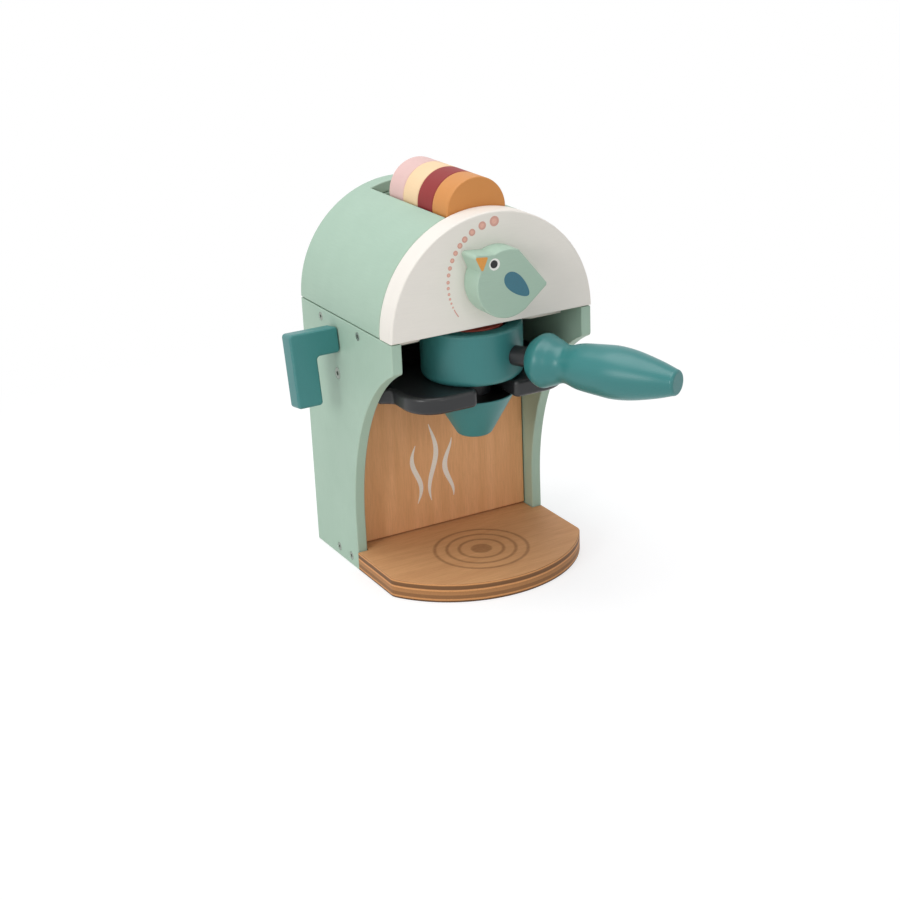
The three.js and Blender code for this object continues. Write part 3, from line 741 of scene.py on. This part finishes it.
def ply_edge(tree, height):
    """Colour of the base's edge: its plies by height, wobbling a little, with short fibres across them. The
    dark band at its foot is partly painted shade along the floor.
    """
    wobble = ranged(tree, pattern(tree, mottle_pitch), 0.2, 0.8, -ply_wobble_share, ply_wobble_share)
    share = maths(tree, "ADD", maths(tree, "DIVIDE", height, base_thickness), wobble)
    ramp = add(tree, "ShaderNodeValToRGB", {0: share})
    stops = ramp.color_ramp.elements
    while len(stops) < len(ply_and_foot_shade_shares):
        stops.new(0.5)
    for stop, (place, lightness) in zip(stops, ply_and_foot_shade_shares):
        stop.position = place
        stop.color = toned(ply_tone, lightness)
    ends = ranged(tree, pattern(tree, ply_grain_pitch, (1, 1, 0.5), 4.0), 0.4, 0.8, 0.0, 0.3)
    return blended(tree, ends, ramp.outputs[0], ply_end_tone)


def base_look():
    """Stained plywood: burnt rings on its top, under the spout, and its plies in bands on its edge."""
    look, tree = new_look("stained_base")
    place = coordinates(tree)
    tone, fibres = ply_top(tree, "x", base_light, base_dark)
    burnt = burnt_rings(tree, place)
    scorch = ranged(tree, pattern(tree, wear_pitch), 0.2, 0.8, 0.36, 0.6)
    topped = blended(tree, maths(tree, "MULTIPLY", burnt, scorch), tone, scorch_tone)
    edge_high = base_thickness - thin_rounding / 3
    edge_low = base_thickness - thin_rounding
    below_top = ranged(tree, place[2], edge_high, edge_low)
    tone = blended(tree, below_top, topped, ply_edge(tree, place[2]))
    roughness = ranged(tree, fibres, 0.3, 0.7, *ply_roughness)
    sunk = maths(tree, "SUBTRACT", maths(tree, "MULTIPLY", fibres, 0.4), burnt)
    return finished(look, tone, roughness, sunk, 2 * grain_depth, ply_specular)


def inked(name, base, rim=None):
    """Printed ink: an even tone with a fine speckle, and another tone towards the rim where one is given."""
    look, tree = new_look(name)
    speckle = ranged(tree, pattern(tree, peel_pitch), 0.3, 0.7)
    tone = blended(tree, speckle, toned(base, 0.95), toned(base, 1.05))
    if rim:
        tone = blended(tree, ranged(tree, arris_mark(tree), 0.35, 0.75, smooth=True), tone, rim)
    roughness = ranged(tree, speckle, 0.0, 1.0, 0.5, 0.6)
    return finished(look, tone, roughness, speckle, grain_depth / 4)


def bare(name, grain):
    """Unfinished turned wood with its fibres along its length."""
    look, tree = new_look(name)
    fibres = pattern(tree, ply_grain_pitch, axes[grain], 4.0)
    tone = blended(tree, ranged(tree, fibres, 0.3, 0.7), toned(bare_wood, 0.86), toned(bare_wood, 1.08))
    roughness = ranged(tree, fibres, 0.3, 0.7, 0.62, 0.78)
    return finished(look, tone, roughness, fibres, 2 * grain_depth)


def steel(name, base, roughness):
    """Plated steel: fine scratches and duller patches."""
    look, tree = new_look(name)
    scratches = pattern(tree, pore_pitch, (6, 1, 1), 2.0)
    patches = pattern(tree, wear_pitch)
    tone = blended(tree, ranged(tree, patches, 0.3, 0.7), toned(base, 0.9), base)
    scratched = ranged(tree, scratches, 0.3, 0.7, roughness - 0.08, roughness + 0.1)
    return finished(look, tone, scratched, scratches, grain_depth / 5, metallic=1.0)


mint = colour(170, 197, 178)
white = colour(242, 237, 228)
cream = colour(236, 229, 215)
teal = colour(60, 129, 128)
deep_teal = colour(52, 127, 126)
black = colour(40, 41, 43)
bare_wood = colour(216, 185, 140)
# Height above which the back panel gets painted shade, for the deep shadow between fork and deck
painted_shade_height = fork_bottom + fork_thickness - fork_rounding
satin = {"roughness": 0.38, "grain_share": 0.04, "worn_share": 0.04}
glossy = {"roughness": 0.33, "grain_share": 0.03, "worn_share": 0.02, "specular": 0.5}
glossy_black = {"roughness": 0.32, "grain_share": 0.05, "worn_share": 0.02, "specular": 0.45}
dull = {"roughness": 0.55, "grain_share": 0.04, "worn_share": 0.03, "specular": 0.25}
fine_dull = {"roughness": 0.55, "grain_share": 0.03, "worn_share": 0.02}
plain = {"roughness": 0.5, "grain_share": 0.03, "worn_share": 0.04}
mint_along = painted("mint_along", mint, "y")
mint_upright = painted("mint_upright", mint, "z")
mint_across = painted("mint_across", mint, "x")
white_face = painted("white_face", white, "x", roughness=0.52, grain_share=0.02)
cream_boards = painted("cream_boards", cream, "x", roughness=0.55, grain_share=0.03)
teal_satin = painted("teal_satin", teal, "z", **satin)
# The spout's top face is darkened as painted shade, for the shadow under the fork
teal_spout = painted("teal_spout", teal, "z", **satin, painted_shade_above=spout_bottom + spout_height)
teal_grip = painted("teal_grip", deep_teal, "x", **glossy)
black_satin = painted("black_satin", black, "y", **glossy_black)
orange_paint = painted("orange_pod", colour(214, 144, 76), "y", **plain)
burgundy_paint = painted("burgundy_pod", colour(148, 54, 54), "y", **dull)
sand_paint = painted("cream_pod", colour(246, 214, 170), "y", **plain)
pink_paint = painted("pink_pod", colour(230, 194, 188), "y", **plain)
brick_paint = painted("brick_pod", colour(200, 88, 72), "z", **fine_dull)
# Above the fork's top the back panel is darkened as painted shade, for the shadow under the deck
ply_upright = stained("stained_upright", "z", colour(244, 186, 132), colour(228, 168, 114), painted_shade_height)
ply_base = base_look()
bare_turned = bare("bare_turned", "z")
zinc = steel("zinc", colour(160, 170, 160), 0.5)
spring = steel("spring", colour(160, 162, 164), 0.3)
dot_ink = inked("dot_ink", colour(236, 184, 166), colour(220, 164, 150))
beak_ink = inked("beak_ink", colour(226, 156, 72))
eye_ink = inked("eye_ink", colour(240, 240, 234))
pupil_ink = inked("pupil_ink", colour(28, 28, 30))
wing_ink = inked("wing_ink", colour(62, 116, 132))
steam_ink = inked("steam_ink", colour(244, 234, 220))


# Boards

def screw_hole(x, y, size, thickness, head_up):
    """A countersunk hole through a board, with its head at the upper face or at the lower one."""
    head = size["head"] + screw_head_gap
    shank = size["shank"] + screw_gap
    depth = size["depth"]
    if head_up:
        return x, y, [(head, thickness), (shank, thickness - depth), (shank, 0)]
    return x, y, [(shank, thickness), (shank, depth), (head, 0)]


deck_screw_height = deck_bottom + deck_thickness / 2
side_screws = [
    ("deck_screw_front", small_screw, deck_screw_front_y, deck_screw_height),
    ("deck_screw_rear", small_screw, deck_screw_rear_y, deck_screw_height),
    ("back_panel_bolt", large_screw, back_panel_y + board_thickness / 2, back_screw_height),
    ("base_screw_front", small_screw, base_screw_front_y, base_thickness / 2),
    ("base_screw_rear", small_screw, base_screw_rear_y, base_thickness / 2),
]


def add_base():
    """Base: a wide arc in front, which small arcs join to the straight sides, and a tail between the side
    panels."""
    arc_centre_y = base_front_radius - base_reach
    corner_spoke = base_front_radius - base_corner_radius
    corner_x = half_width - base_corner_radius
    turn = math.acos(corner_x / corner_spoke)
    corner_y = arc_centre_y - corner_spoke * math.sin(turn)
    outline = mirrored([
        *arc(0, arc_centre_y, base_front_radius, 3 * math.pi / 2, 2 * math.pi - turn, curve_steps // 2),
        *arc(corner_x, corner_y, base_corner_radius, -turn, 0, math.ceil(turn / corner_step))[1:],
        [half_width, base_shoulder_y, 0],
        [inner_half_width, base_shoulder_y, 0],
        [inner_half_width, rear_y, 0],
    ])
    shape = board(outline, base_thickness, board_rounding)
    put("ply_base", shape, flat(0), "machine", ply_base, ["base_board"])


def side_outline():
    """Side panel in the YZ plane: straight column, concave quarter ellipse, straight nose. The first steps of
    the ellipse make room for the nose's rounding."""
    centre_y = column_front_y - cutout_semi_depth
    top_angle = math.acos((side_nose_y - centre_y) / cutout_semi_depth)
    semi_height = (side_nose_bottom - cutout_spring_height) / math.sin(top_angle)
    angle = np.linspace(top_angle, 0, curve_steps + 1)[side_nose_steps:]
    curve = np.column_stack([
        centre_y + cutout_semi_depth * np.cos(angle),
        cutout_spring_height + semi_height * np.sin(angle),
        0 * angle,
    ])
    return rounded([
        [rear_y, 0, 0],
        [rear_y, side_top, 0],
        [side_nose_y, side_top, 0],
        [side_nose_y, side_nose_bottom, side_nose_radius],
        *curve,
        [column_front_y, 0, 0],
    ])


def add_sides():
    for side, x, head_up in (("left", -half_width, False), ("right", half_width - side_thickness, True)):
        holes = [screw_hole(y, z, size, side_thickness, head_up) for _, size, y, z in side_screws]
        if side == "left":
            holes.append((wand_y, wand_height, [(wand_hole_radius, side_thickness), (wand_hole_radius, 0)]))
        shape = board(side_outline(), side_thickness, board_rounding, holes)
        name = f"{side}_side"
        put(name, shape, along(x), "machine", mint_upright, [f"side_panel_{side}"])


def add_cross_boards():
    back_outline = rectangle(-back_panel_half_width, back_panel_bottom, back_panel_half_width, back_panel_top)
    back = board(back_outline, board_thickness, board_rounding)
    place = across(back_panel_y + board_thickness)
    put("ply_back", back, place, "machine", ply_upright, ["back_panel"])

    places = (-rear_screw_x, rear_screw_x)
    holes = [screw_hole(x, deck_screw_height, small_screw, board_thickness, False) for x in places]
    rear_outline = rectangle(-inner_half_width, boards_bottom, inner_half_width, side_top)
    rear = board(rear_outline, board_thickness, board_rounding, holes)
    put("rear_board", rear, across(rear_y), "machine", mint_upright, ["rear_panel"])


def add_deck():
    """Deck: a board with a round notch in front, whose mouth turns outwards by two small arcs."""
    mouth_y = deck_front_y + deck_mouth_radius
    mouth_x = math.sqrt((deck_notch_radius + deck_mouth_radius) ** 2 - mouth_y ** 2)
    turn = math.atan2(mouth_y, mouth_x)
    steps = math.ceil(math.pi / 2 / corner_step)
    outline = mirrored([
        *arc(0, 0, deck_notch_radius, math.pi / 2, turn, curve_steps // 2)[:-1],
        *arc(mouth_x, mouth_y, deck_mouth_radius, math.pi + turn, 3 * math.pi / 2, steps),
        [inner_half_width, deck_front_y, 0],
        [inner_half_width, deck_back_y, 0],
    ])
    shape = board(outline, deck_thickness, deck_rounding)
    put("deck", shape, flat(deck_bottom), "machine", cream_boards, ["head_deck"])


def add_fork():
    """Fork: two rounded prongs beside a slot with a half-round end, and wider behind its shoulders."""
    outline = rounded(mirrored([
        *arc(0, 0, fork_slot_half_width, math.pi / 2, 0, curve_steps // 4),
        [fork_slot_half_width, fork_front_y, fork_tip_radius],
        [fork_half_width, fork_front_y, fork_corner_radius],
        [fork_half_width, fork_shoulder_front_y, fork_tip_radius],
        [inner_half_width, fork_shoulder_back_y, 0],
        [inner_half_width, fork_back_y, 0],
    ]))
    shape = board(outline, fork_thickness, fork_rounding)
    put("fork", shape, flat(fork_bottom), "machine", black_satin, ["fork_board"])


# Head

def half_disc(radius):
    return arc(0, seam_height, radius, 0, math.pi)


def add_face():
    hole = (dial_x, dial_height, [(spindle_hole_radius, face_thickness), (spindle_hole_radius, 0)])
    shape = board(half_disc(half_width), face_thickness, face_rounding, [hole])
    place = across(front_y + face_thickness)
    put("face_board", shape, place, "machine", white_face, ["front_panel"])
    end = board(half_disc(hood_end_radius), hood_end_thickness, board_rounding)
    put("hood_end", end, across(rear_y), "machine", mint_across, ["rear_disc"])


def hood_angles(radius):
    """Angles round a skin of the hood, from one seam to the other, with steps at the window's two walls."""
    wall = math.acos(channel_half_width / radius)
    near = wear_reach / radius
    return np.concatenate([
        [0],
        np.linspace(near, wall - near, hood_side_steps),
        [wall],
        np.linspace(wall + near, math.pi - wall - near, hood_window_steps),
        [math.pi - wall],
        np.linspace(math.pi - wall + near, math.pi - near, hood_side_steps),
        [math.pi],
    ])


def hood_skin(radius, lengths):
    """Cylinder skin about the seam line: radius times cosine and sine of the angle, at each length."""
    angle = hood_angles(radius)[:, None]
    x = radius * np.cos(angle) + 0 * lengths
    z = seam_height + radius * np.sin(angle) + 0 * lengths
    y = lengths + 0 * angle
    return np.stack([x, y, z], axis=2).reshape(-1, 3)


def add_hood():
    window_lengths = np.linspace(hood_front_y + wear_reach, channel_end_y - wear_reach, hood_length_steps)
    rear_lengths = [channel_end_y + wear_reach, rear_y - wear_reach]
    lengths = np.concatenate([[hood_front_y], window_lengths, [channel_end_y], rear_lengths, [rear_y]])
    angles = len(hood_angles(half_width))
    quads = grid_faces(angles, len(lengths), closed=False).reshape(angles - 1, len(lengths) - 1, 4)
    first = hood_side_steps + 1
    last = first + hood_window_steps + 1
    keep = np.ones(quads.shape[:2], bool)
    keep[first:last, :hood_length_steps + 1] = False
    wear = np.zeros((angles, len(lengths)))
    wear[[0, -1]] = 1
    wear[:, [0, -1]] = 1
    wear[[first, last], :hood_length_steps + 2] = 1
    wear[first:last + 1, hood_length_steps + 1] = 1
    outer = hood_skin(half_width, lengths)
    inner = hood_skin(hood_inner_radius, lengths)
    shape = shell(outer, inner, quads[keep], wear.ravel())
    put("hood", shape, flat(0), "machine", mint_along, ["hood_skin"], bevel=board_rounding)


def add_trough():
    """Trough: a half-round channel up to its lips under the hood's inner skin, which its shoulders follow."""
    outer_x = channel_half_width + channel_wall
    skin_radius = hood_inner_radius - board_gap
    floor_height = trough_floor_height + channel_half_width
    lip_height = seam_height + math.sqrt(skin_radius ** 2 - channel_half_width ** 2)
    lip_drop = math.asin((floor_height - lip_height) / channel_half_width)
    outer_angle = math.acos(outer_x / skin_radius)
    inner_angle = math.acos(channel_half_width / skin_radius)
    outline = mirrored([
        *arc(0, floor_height, channel_half_width, -math.pi / 2, -lip_drop, curve_steps // 4),
        *arc(0, seam_height, skin_radius, inner_angle, outer_angle, trough_edge_steps),
        [outer_x, trough_bottom, 0],
    ])
    end_y = channel_end_y - board_gap
    shape = board(outline, end_y - hood_front_y, thin_rounding)
    put("pod_trough", shape, across(end_y), "machine", mint_along, ["channel_trough"])


def add_pods():
    shape = lathed([pod_radius, 0, pod_rounding], [pod_radius, pod_thickness, pod_rounding])
    row = [
        ("orange", orange_paint, "orange_paint"),
        ("burgundy", burgundy_paint, "burgundy_paint"),
        ("cream", sand_paint, "sand_paint"),
        ("pink", pink_paint, "pink_paint"),
    ]
    for i, (name, look, slot) in enumerate(row):
        place = aim((0, pod_first_y + i * pod_pitch, pod_height), (0, 1, 0))
        put(f"{name}_disc", shape, place, f"{name}_pod", look, [f"pod_{name}"])
    place = flat(pod_seat_height)
    put("brick_disc", shape, place, "loaded_pod", brick_paint, ["pod_brick"])


# Inks

dot_centre = (4.2 * mm, 214.9 * mm)
dot_arc_radius = 37.06 * mm
dot_degrees = [
    92.8, 106.8, 119.5, 129.8, 137.6, 146.1, 154, 161.8, 168.8, 176, 182, 188.2, 193.3, 198.2, 202.8,
]
dot_last_radius = 0.65 * mm
dot_steady_fall = 1.5 * mm
dot_early_fall = 1.2 * mm
dot_early_rate = 8
dot_tail_angles = (205.5 * degree, 215 * degree)
dot_tail_half_width = 0.35 * mm


def dot_tail():
    """A thin line that goes on along the dots' arc."""
    out = arc(*dot_centre, dot_arc_radius + dot_tail_half_width, *dot_tail_angles, arris_steps)
    back = arc(*dot_centre, dot_arc_radius - dot_tail_half_width, *dot_tail_angles, arris_steps)[::-1]
    return film(np.concatenate([out, back]))


def add_dots():
    """Dots on an arc: their radius falls evenly along the row, and over the first few it falls faster, by an
    exponential."""
    share = np.linspace(0, 1, len(dot_degrees))
    early = dot_early_fall * np.exp(-dot_early_rate * share)
    radii = dot_last_radius + dot_steady_fall * (1 - share) + early
    dots = [dot_tail()]
    for angle, radius in zip(np.array(dot_degrees) * degree, radii):
        profile = [[0, 0, 0], [radius, 0, 1], [radius, ink_height, 1], [0, ink_height, 0]]
        x = dot_centre[0] + dot_arc_radius * math.cos(angle)
        z = dot_centre[1] + dot_arc_radius * math.sin(angle)
        dots.append(moved(turned(profile, hole_sides), Matrix.Translation((x, z, 0))))
    put("front_dots", join(dots), across(front_y), "machine", dot_ink)


def polar(radius, angle, radius_of_corner=0.0):
    return [radius * math.cos(angle), radius * math.sin(angle), radius_of_corner]


def bird_outline():
    """A round body about the axis: the outline leaves its circle at the tail and at the beak, where two sides
    meet in a corner."""
    belly_end = 2 * math.pi + dial_tail["from"]
    return rounded([
        *arc(0, 0, dial_body_radius, dial_beak["to"], belly_end),
        polar(dial_tail["length"], dial_tail["angle"], dial_tip_radius),
        *arc(0, 0, dial_body_radius, dial_tail["to"], dial_beak["from"], curve_steps // 4),
        polar(dial_beak["length"], dial_beak["angle"], dial_tip_radius),
    ])


eye_place = (-9.6 * mm, 14.2 * mm)
eye_radius = 3.9 * mm
pupil_place = (-10 * mm, 14.4 * mm)
pupil_radius = 2.6 * mm
beak_ink_radius = 0.9 * mm
beak_ink_corners = [
    [-23.5 * mm, 20.7 * mm, beak_ink_radius],
    [-18.5 * mm, 10.1 * mm, beak_ink_radius],
    [-14 * mm, 19.7 * mm, beak_ink_radius],
]
wing_place = (6.6 * mm, -1.9 * mm)
wing_length = 23 * mm
wing_width = 11.2 * mm
wing_angle = -44 * degree
wing_narrowing_share = 0.28


def wing_outline():
    """A leaf: its width follows the sine of the way round and its length the cosine, and it is narrowed
    towards its point by a share of that cosine."""
    way = np.linspace(0, 2 * math.pi, curve_steps, endpoint=False)
    length = wing_length / 2 * np.cos(way)
    width = wing_width / 2 * np.sin(way) * (1 - wing_narrowing_share * np.cos(way))
    x = wing_place[0] + length * math.cos(wing_angle) - width * math.sin(wing_angle)
    z = wing_place[1] + length * math.sin(wing_angle) + width * math.cos(wing_angle)
    return np.column_stack([x, z])


def round_ink(place, radius):
    return film(arc(*place, radius, 0, 2 * math.pi, hole_sides)[:-1])


def add_dial():
    """The knob, and its inks on the knob's front, with the pupil on the eye."""
    knob = board(bird_outline(), dial_thickness, dial_rounding)
    front = dial_back_y - dial_thickness
    eye_front = front - ink_height
    layers = [
        ("bird_knob", knob, dial_back_y, "mint_paint", mint_across, ["dial_knob"]),
        ("bird_eye", round_ink(eye_place, eye_radius), front, "white_paint", eye_ink, ()),
        ("bird_pupil", round_ink(pupil_place, pupil_radius), eye_front, "black_paint", pupil_ink, ()),
        ("bird_beak", film(rounded(beak_ink_corners)), front, "orange_paint", beak_ink, ()),
        ("bird_wing", film(wing_outline()), front, "teal_paint", wing_ink, ()),
    ]
    for name, shape, back_y, slot, look, stands_for in layers:
        put(name, shape, across(back_y, dial_x, dial_height), "dial", look, stands_for)


wisp_foot = 34 * mm
wisps = [
    {"x": -21 * mm, "height": 44 * mm, "start": 0.0},
    {"x": -8 * mm, "height": 58 * mm, "start": 0.6},
    {"x": 5 * mm, "height": 44 * mm, "start": 1.2},
]
wisp_swing = 3.2 * mm
wisp_half_width = 2 * mm
wisp_end_shares = (0.02, 0.98)
wisp_fullness = 0.7


def wisp_outline(wisp):
    """A rising ribbon: a sine swing about its place, its half width a power of its height share's sine."""
    share = np.linspace(0, 1, curve_steps)
    middle = wisp["x"] + wisp_swing * np.sin(2 * math.pi * (share + wisp["start"]))
    height = wisp_foot + wisp["height"] * share
    half = wisp_half_width * np.sin(math.pi * np.clip(share, *wisp_end_shares)) ** wisp_fullness
    left = np.column_stack([middle - half, height])
    right = np.column_stack([middle + half, height])
    return np.concatenate([right, left[::-1]])


def add_steam():
    shapes = join([film(wisp_outline(wisp)) for wisp in wisps])
    put("steam_wisps", shapes, across(back_panel_y), "machine", steam_ink)


# Wand, portafilter and screws

def add_wand():
    arm_top = wand_arm_height / 2
    outer = -wand_gap - wand_reach
    shape = board(rounded([
        [-wand_gap, arm_top, wand_corner_radius],
        [outer, arm_top, wand_corner_radius],
        [outer, arm_top - wand_total_height, wand_corner_radius],
        [outer + wand_drop_width, arm_top - wand_total_height, wand_corner_radius],
        [outer + wand_drop_width, arm_top - wand_arm_height, wand_corner_radius],
        [-wand_gap, arm_top - wand_arm_height, wand_corner_radius],
    ]), wand_thickness, wand_rounding)
    place = Matrix.Translation((-half_width, wand_y, wand_height)) @ Matrix.Rotation(-wand_lean, 4, "X")
    put("wand", shape, place @ across(wand_thickness / 2), "wand", teal_satin, ["wand_arm"])


def grip_profile():
    """Smooth curve through the outline's knots: on each stretch a cubic whose slopes are half the step
    between the knots on its two sides, sampled at equal shares."""
    knots = np.array([(width * grip_radius, place * grip_length) for place, width in grip_outline_shares])
    last = len(knots) - 1
    way = np.linspace(0, last, grip_steps + 1)
    index = np.minimum(way.astype(int), last - 1)
    part = (way - index)[:, None]
    before = knots[np.maximum(index - 1, 0)]
    start = knots[index]
    end = knots[index + 1]
    after = knots[np.minimum(index + 2, last)]
    leaving = (end - before) / 2
    arriving = (after - start) / 2
    cubic = (2 * start - 2 * end + leaving + arriving) * part ** 3
    square = (3 * end - 3 * start - 2 * leaving - arriving) * part ** 2
    curve = cubic + square + leaving * part + start
    end_radius = curve[-1, 0]
    cap = rounded([
        [end_radius, curve[-1, 1], 0],
        [end_radius, grip_length, grip_end_rounding],
        [0, grip_length, 0],
    ], closed=False)
    body = np.column_stack([curve, np.zeros(len(curve))])
    return np.concatenate([[[0, 0, 0]], body, cap[1:]])


def add_portafilter():
    """Cup, neck and spout about the slot's axis, and the dowel and grip along the handle's."""
    upright = [
        ("cup", "portafilter", "teal_paint", teal_satin, "portafilter_cup", cup_bottom, [
            [cup_radius, 0, cup_foot_radius],
            [cup_radius, cup_height, cup_lip_radius],
            [cup_recess_radius, cup_height, cup_lip_radius],
            [cup_recess_radius, cup_height - cup_recess_depth, 0],
        ]),
        ("neck", "portafilter_core", "black_paint", black_satin, "portafilter_neck", neck_bottom, [
            [neck_radius, 0, board_rounding],
            [neck_radius, neck_top - neck_bottom, board_rounding],
        ]),
        ("spout", "portafilter_core", "teal_paint", teal_spout, "portafilter_spout", spout_bottom, [
            [spout_bottom_radius, 0, spout_rounding],
            [spout_top_radius, spout_height, board_rounding],
        ]),
    ]
    for name, body, slot, look, node, height, corners in upright:
        put(name, lathed(*corners), flat(height), body, look, [node])
    axis = Vector((math.sin(handle_angle), -math.cos(handle_angle), 0))
    handle = Vector((0, 0, handle_height))
    dowel = lathed([dowel_radius, 0, thin_rounding], [dowel_radius, dowel_length, thin_rounding])
    place = aim(handle + dowel_start * axis, axis)
    put("dowel", dowel, place, "portafilter", black_satin, ["handle_dowel"])
    place = aim(handle + grip_start * axis, axis)
    put("grip", turned(grip_profile()), place, "portafilter", teal_grip, ["handle_grip"])


def screw_shape(size):
    """A countersunk screw along +Z from its head's face, with a six-sided socket."""
    socket = size["head"] * screw_socket_share
    return turned([
        [0, screw_socket_depth, 0],
        [socket, screw_socket_depth, 0],
        [socket, 0, 0],
        [size["head"] - screw_edge, 0, 0],
        [size["head"], screw_edge / 2, 1],
        [size["shank"], size["depth"], 0],
        [size["shank"], size["length"] - screw_edge, 0],
        [size["shank"] - screw_edge, size["length"], 0],
        [0, size["length"], 0],
    ], screw_sides, six_sided=(1, 2))


def add_screws():
    screws = []
    for name, size, y, z in side_screws:
        for side, sign in (("left", 1), ("right", -1)):
            screws.append((f"{name}_{side}", size, (-sign * half_width, y, z), (sign, 0, 0)))
    fork_screw_height = fork_bottom + fork_thickness / 2
    fork_screw_y = back_panel_y + board_thickness
    for side, sign in (("left", -1), ("right", 1)):
        rear_place = (sign * rear_screw_x, rear_y, deck_screw_height)
        fork_place = (sign * fork_screw_x, fork_screw_y, fork_screw_height)
        screws.append((f"rear_screw_{side}", small_screw, rear_place, (0, -1, 0)))
        screws.append((f"fork_screw_{side}", small_screw, fork_place, (0, -1, 0)))
    for node, size, place, direction in screws:
        put(f"turned_{node}", screw_shape(size), aim(place, direction), "machine", zinc, [node])


def dress_hidden_nodes():
    """CAD nodes that stay, inside the head and behind the wand, get a finish each, chosen by node name."""
    looks = {
        "dial_spindle": bare("bare_spindle", "y"),
        "click_wheel": bare_turned,
        "click_block": bare_turned,
        "wand_pivot": bare("bare_pivot", "x"),
        "wand_keeper": bare_turned,
        "click_leaf": spring,
        "click_screw": zinc,
        "wand_screw": zinc,
    }
    for name, look in looks.items():
        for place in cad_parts[name].material_slots:
            place.material = look


# Stage

floor_size = 12
floor_drop = 0.05 * mm
floor_own_light = 0.64
floor_shadow_share = 0.45
floor_fade_start = 0.22
floor_fade_end = 0.6
floor_tone = colour(242, 241, 238)
room_tone = colour(250, 250, 255)
all_white = (1, 1, 1, 1)
room_light = 0.46
aim_point = Vector((0, 0.02, 0.15))
# Lamps: heading to the right of straight front, height angle, distance, size and power
lamps = {
    "key": (-68 * degree, 17 * degree, 2.2, 0.7, 10.5),
    "front": (12 * degree, 15 * degree, 2.0, 0.45, 1.9),
    "top": (-100 * degree, 80 * degree, 2.0, 1.8, 27),
}


def seen_directly(tree):
    """1 for what the camera, a reflection or a clear material sees, and 0 for light on its way."""
    path = add(tree, "ShaderNodeLightPath").outputs
    either = maths(tree, "MAXIMUM", path["Is Camera Ray"], path["Is Glossy Ray"])
    return maths(tree, "MAXIMUM", either, path["Is Transmission Ray"])


def make_world():
    world = bpy.data.worlds.new("studio")
    bpy.context.scene.world = world
    world.use_nodes = True
    tree = world.node_tree
    tree.nodes.clear()
    lit = add(tree, "ShaderNodeBackground", {"Color": room_tone, "Strength": room_light})
    shown = add(tree, "ShaderNodeBackground", {"Color": all_white, "Strength": 1.0})
    mix = add(tree, "ShaderNodeMixShader", {0: seen_directly(tree), 1: lit.outputs[0], 2: shown.outputs[0]})
    add(tree, "ShaderNodeOutputWorld", {"Surface": mix.outputs[0]})


def floor_look():
    """A pale floor that keeps the object's shadow: where it is seen, most of its white is its own, and a part
    is the light that falls on it. Away from the object it becomes all white."""
    look, tree = new_look("floor_white")
    matt = add(tree, "ShaderNodeBsdfDiffuse", {"Color": floor_tone})
    faint = add(tree, "ShaderNodeBsdfDiffuse", {"Color": toned(all_white, floor_shadow_share)})
    own = add(tree, "ShaderNodeEmission", {"Color": all_white, "Strength": floor_own_light})
    near = add(tree, "ShaderNodeAddShader", {0: faint.outputs[0], 1: own.outputs[0]})
    far = add(tree, "ShaderNodeEmission", {"Color": all_white, "Strength": 1.0})
    spot = add(tree, "ShaderNodeTexCoord").outputs["Object"]
    distance = add(tree, "ShaderNodeVectorMath", {0: spot}, operation="LENGTH").outputs["Value"]
    away = ranged(tree, distance, floor_fade_start, floor_fade_end, smooth=True)
    shown = add(tree, "ShaderNodeMixShader", {0: away, 1: near.outputs[0], 2: far.outputs[0]})
    mix = add(tree, "ShaderNodeMixShader", {0: seen_directly(tree), 1: matt.outputs[0], 2: shown.outputs[0]})
    add(tree, "ShaderNodeOutputMaterial", {"Surface": mix.outputs[0]})
    return look


def make_floor():
    corner = floor_size / 2
    points = [(x, y, -floor_drop) for x, y, _ in rectangle(-corner, -corner, corner, corner)]
    mesh = bpy.data.meshes.new("floor")
    mesh.from_pydata(points, [], [(0, 1, 2, 3)])
    mesh.materials.append(floor_look())
    floor = bpy.data.objects.new("floor", mesh)
    bpy.context.scene.collection.objects.link(floor)


def make_lamp(name, heading, height_angle, distance, size, power):
    """A square lamp at a heading and a height angle from the aim point, turned towards it."""
    level = math.cos(height_angle)
    outward = Vector((math.sin(heading) * level, -math.cos(heading) * level, math.sin(height_angle)))
    data = bpy.data.lights.new(name, "AREA")
    data.energy = power
    data.size = size
    lamp = bpy.data.objects.new(name, data)
    bpy.context.scene.collection.objects.link(lamp)
    turn = (-outward).to_track_quat("-Z", "Y").to_matrix().to_4x4()
    lamp.matrix_world = Matrix.Translation(aim_point + outward * distance) @ turn


add_base()
add_sides()
add_cross_boards()
add_deck()
add_fork()
add_face()
add_hood()
add_trough()
add_pods()
add_dots()
add_dial()
add_steam()
add_wand()
add_portafilter()
add_screws()
dress_hidden_nodes()
make_world()
make_floor()
for lamp_name, lamp_values in lamps.items():
    make_lamp(lamp_name, *lamp_values)
bpy.context.scene.view_settings.view_transform = "Standard"
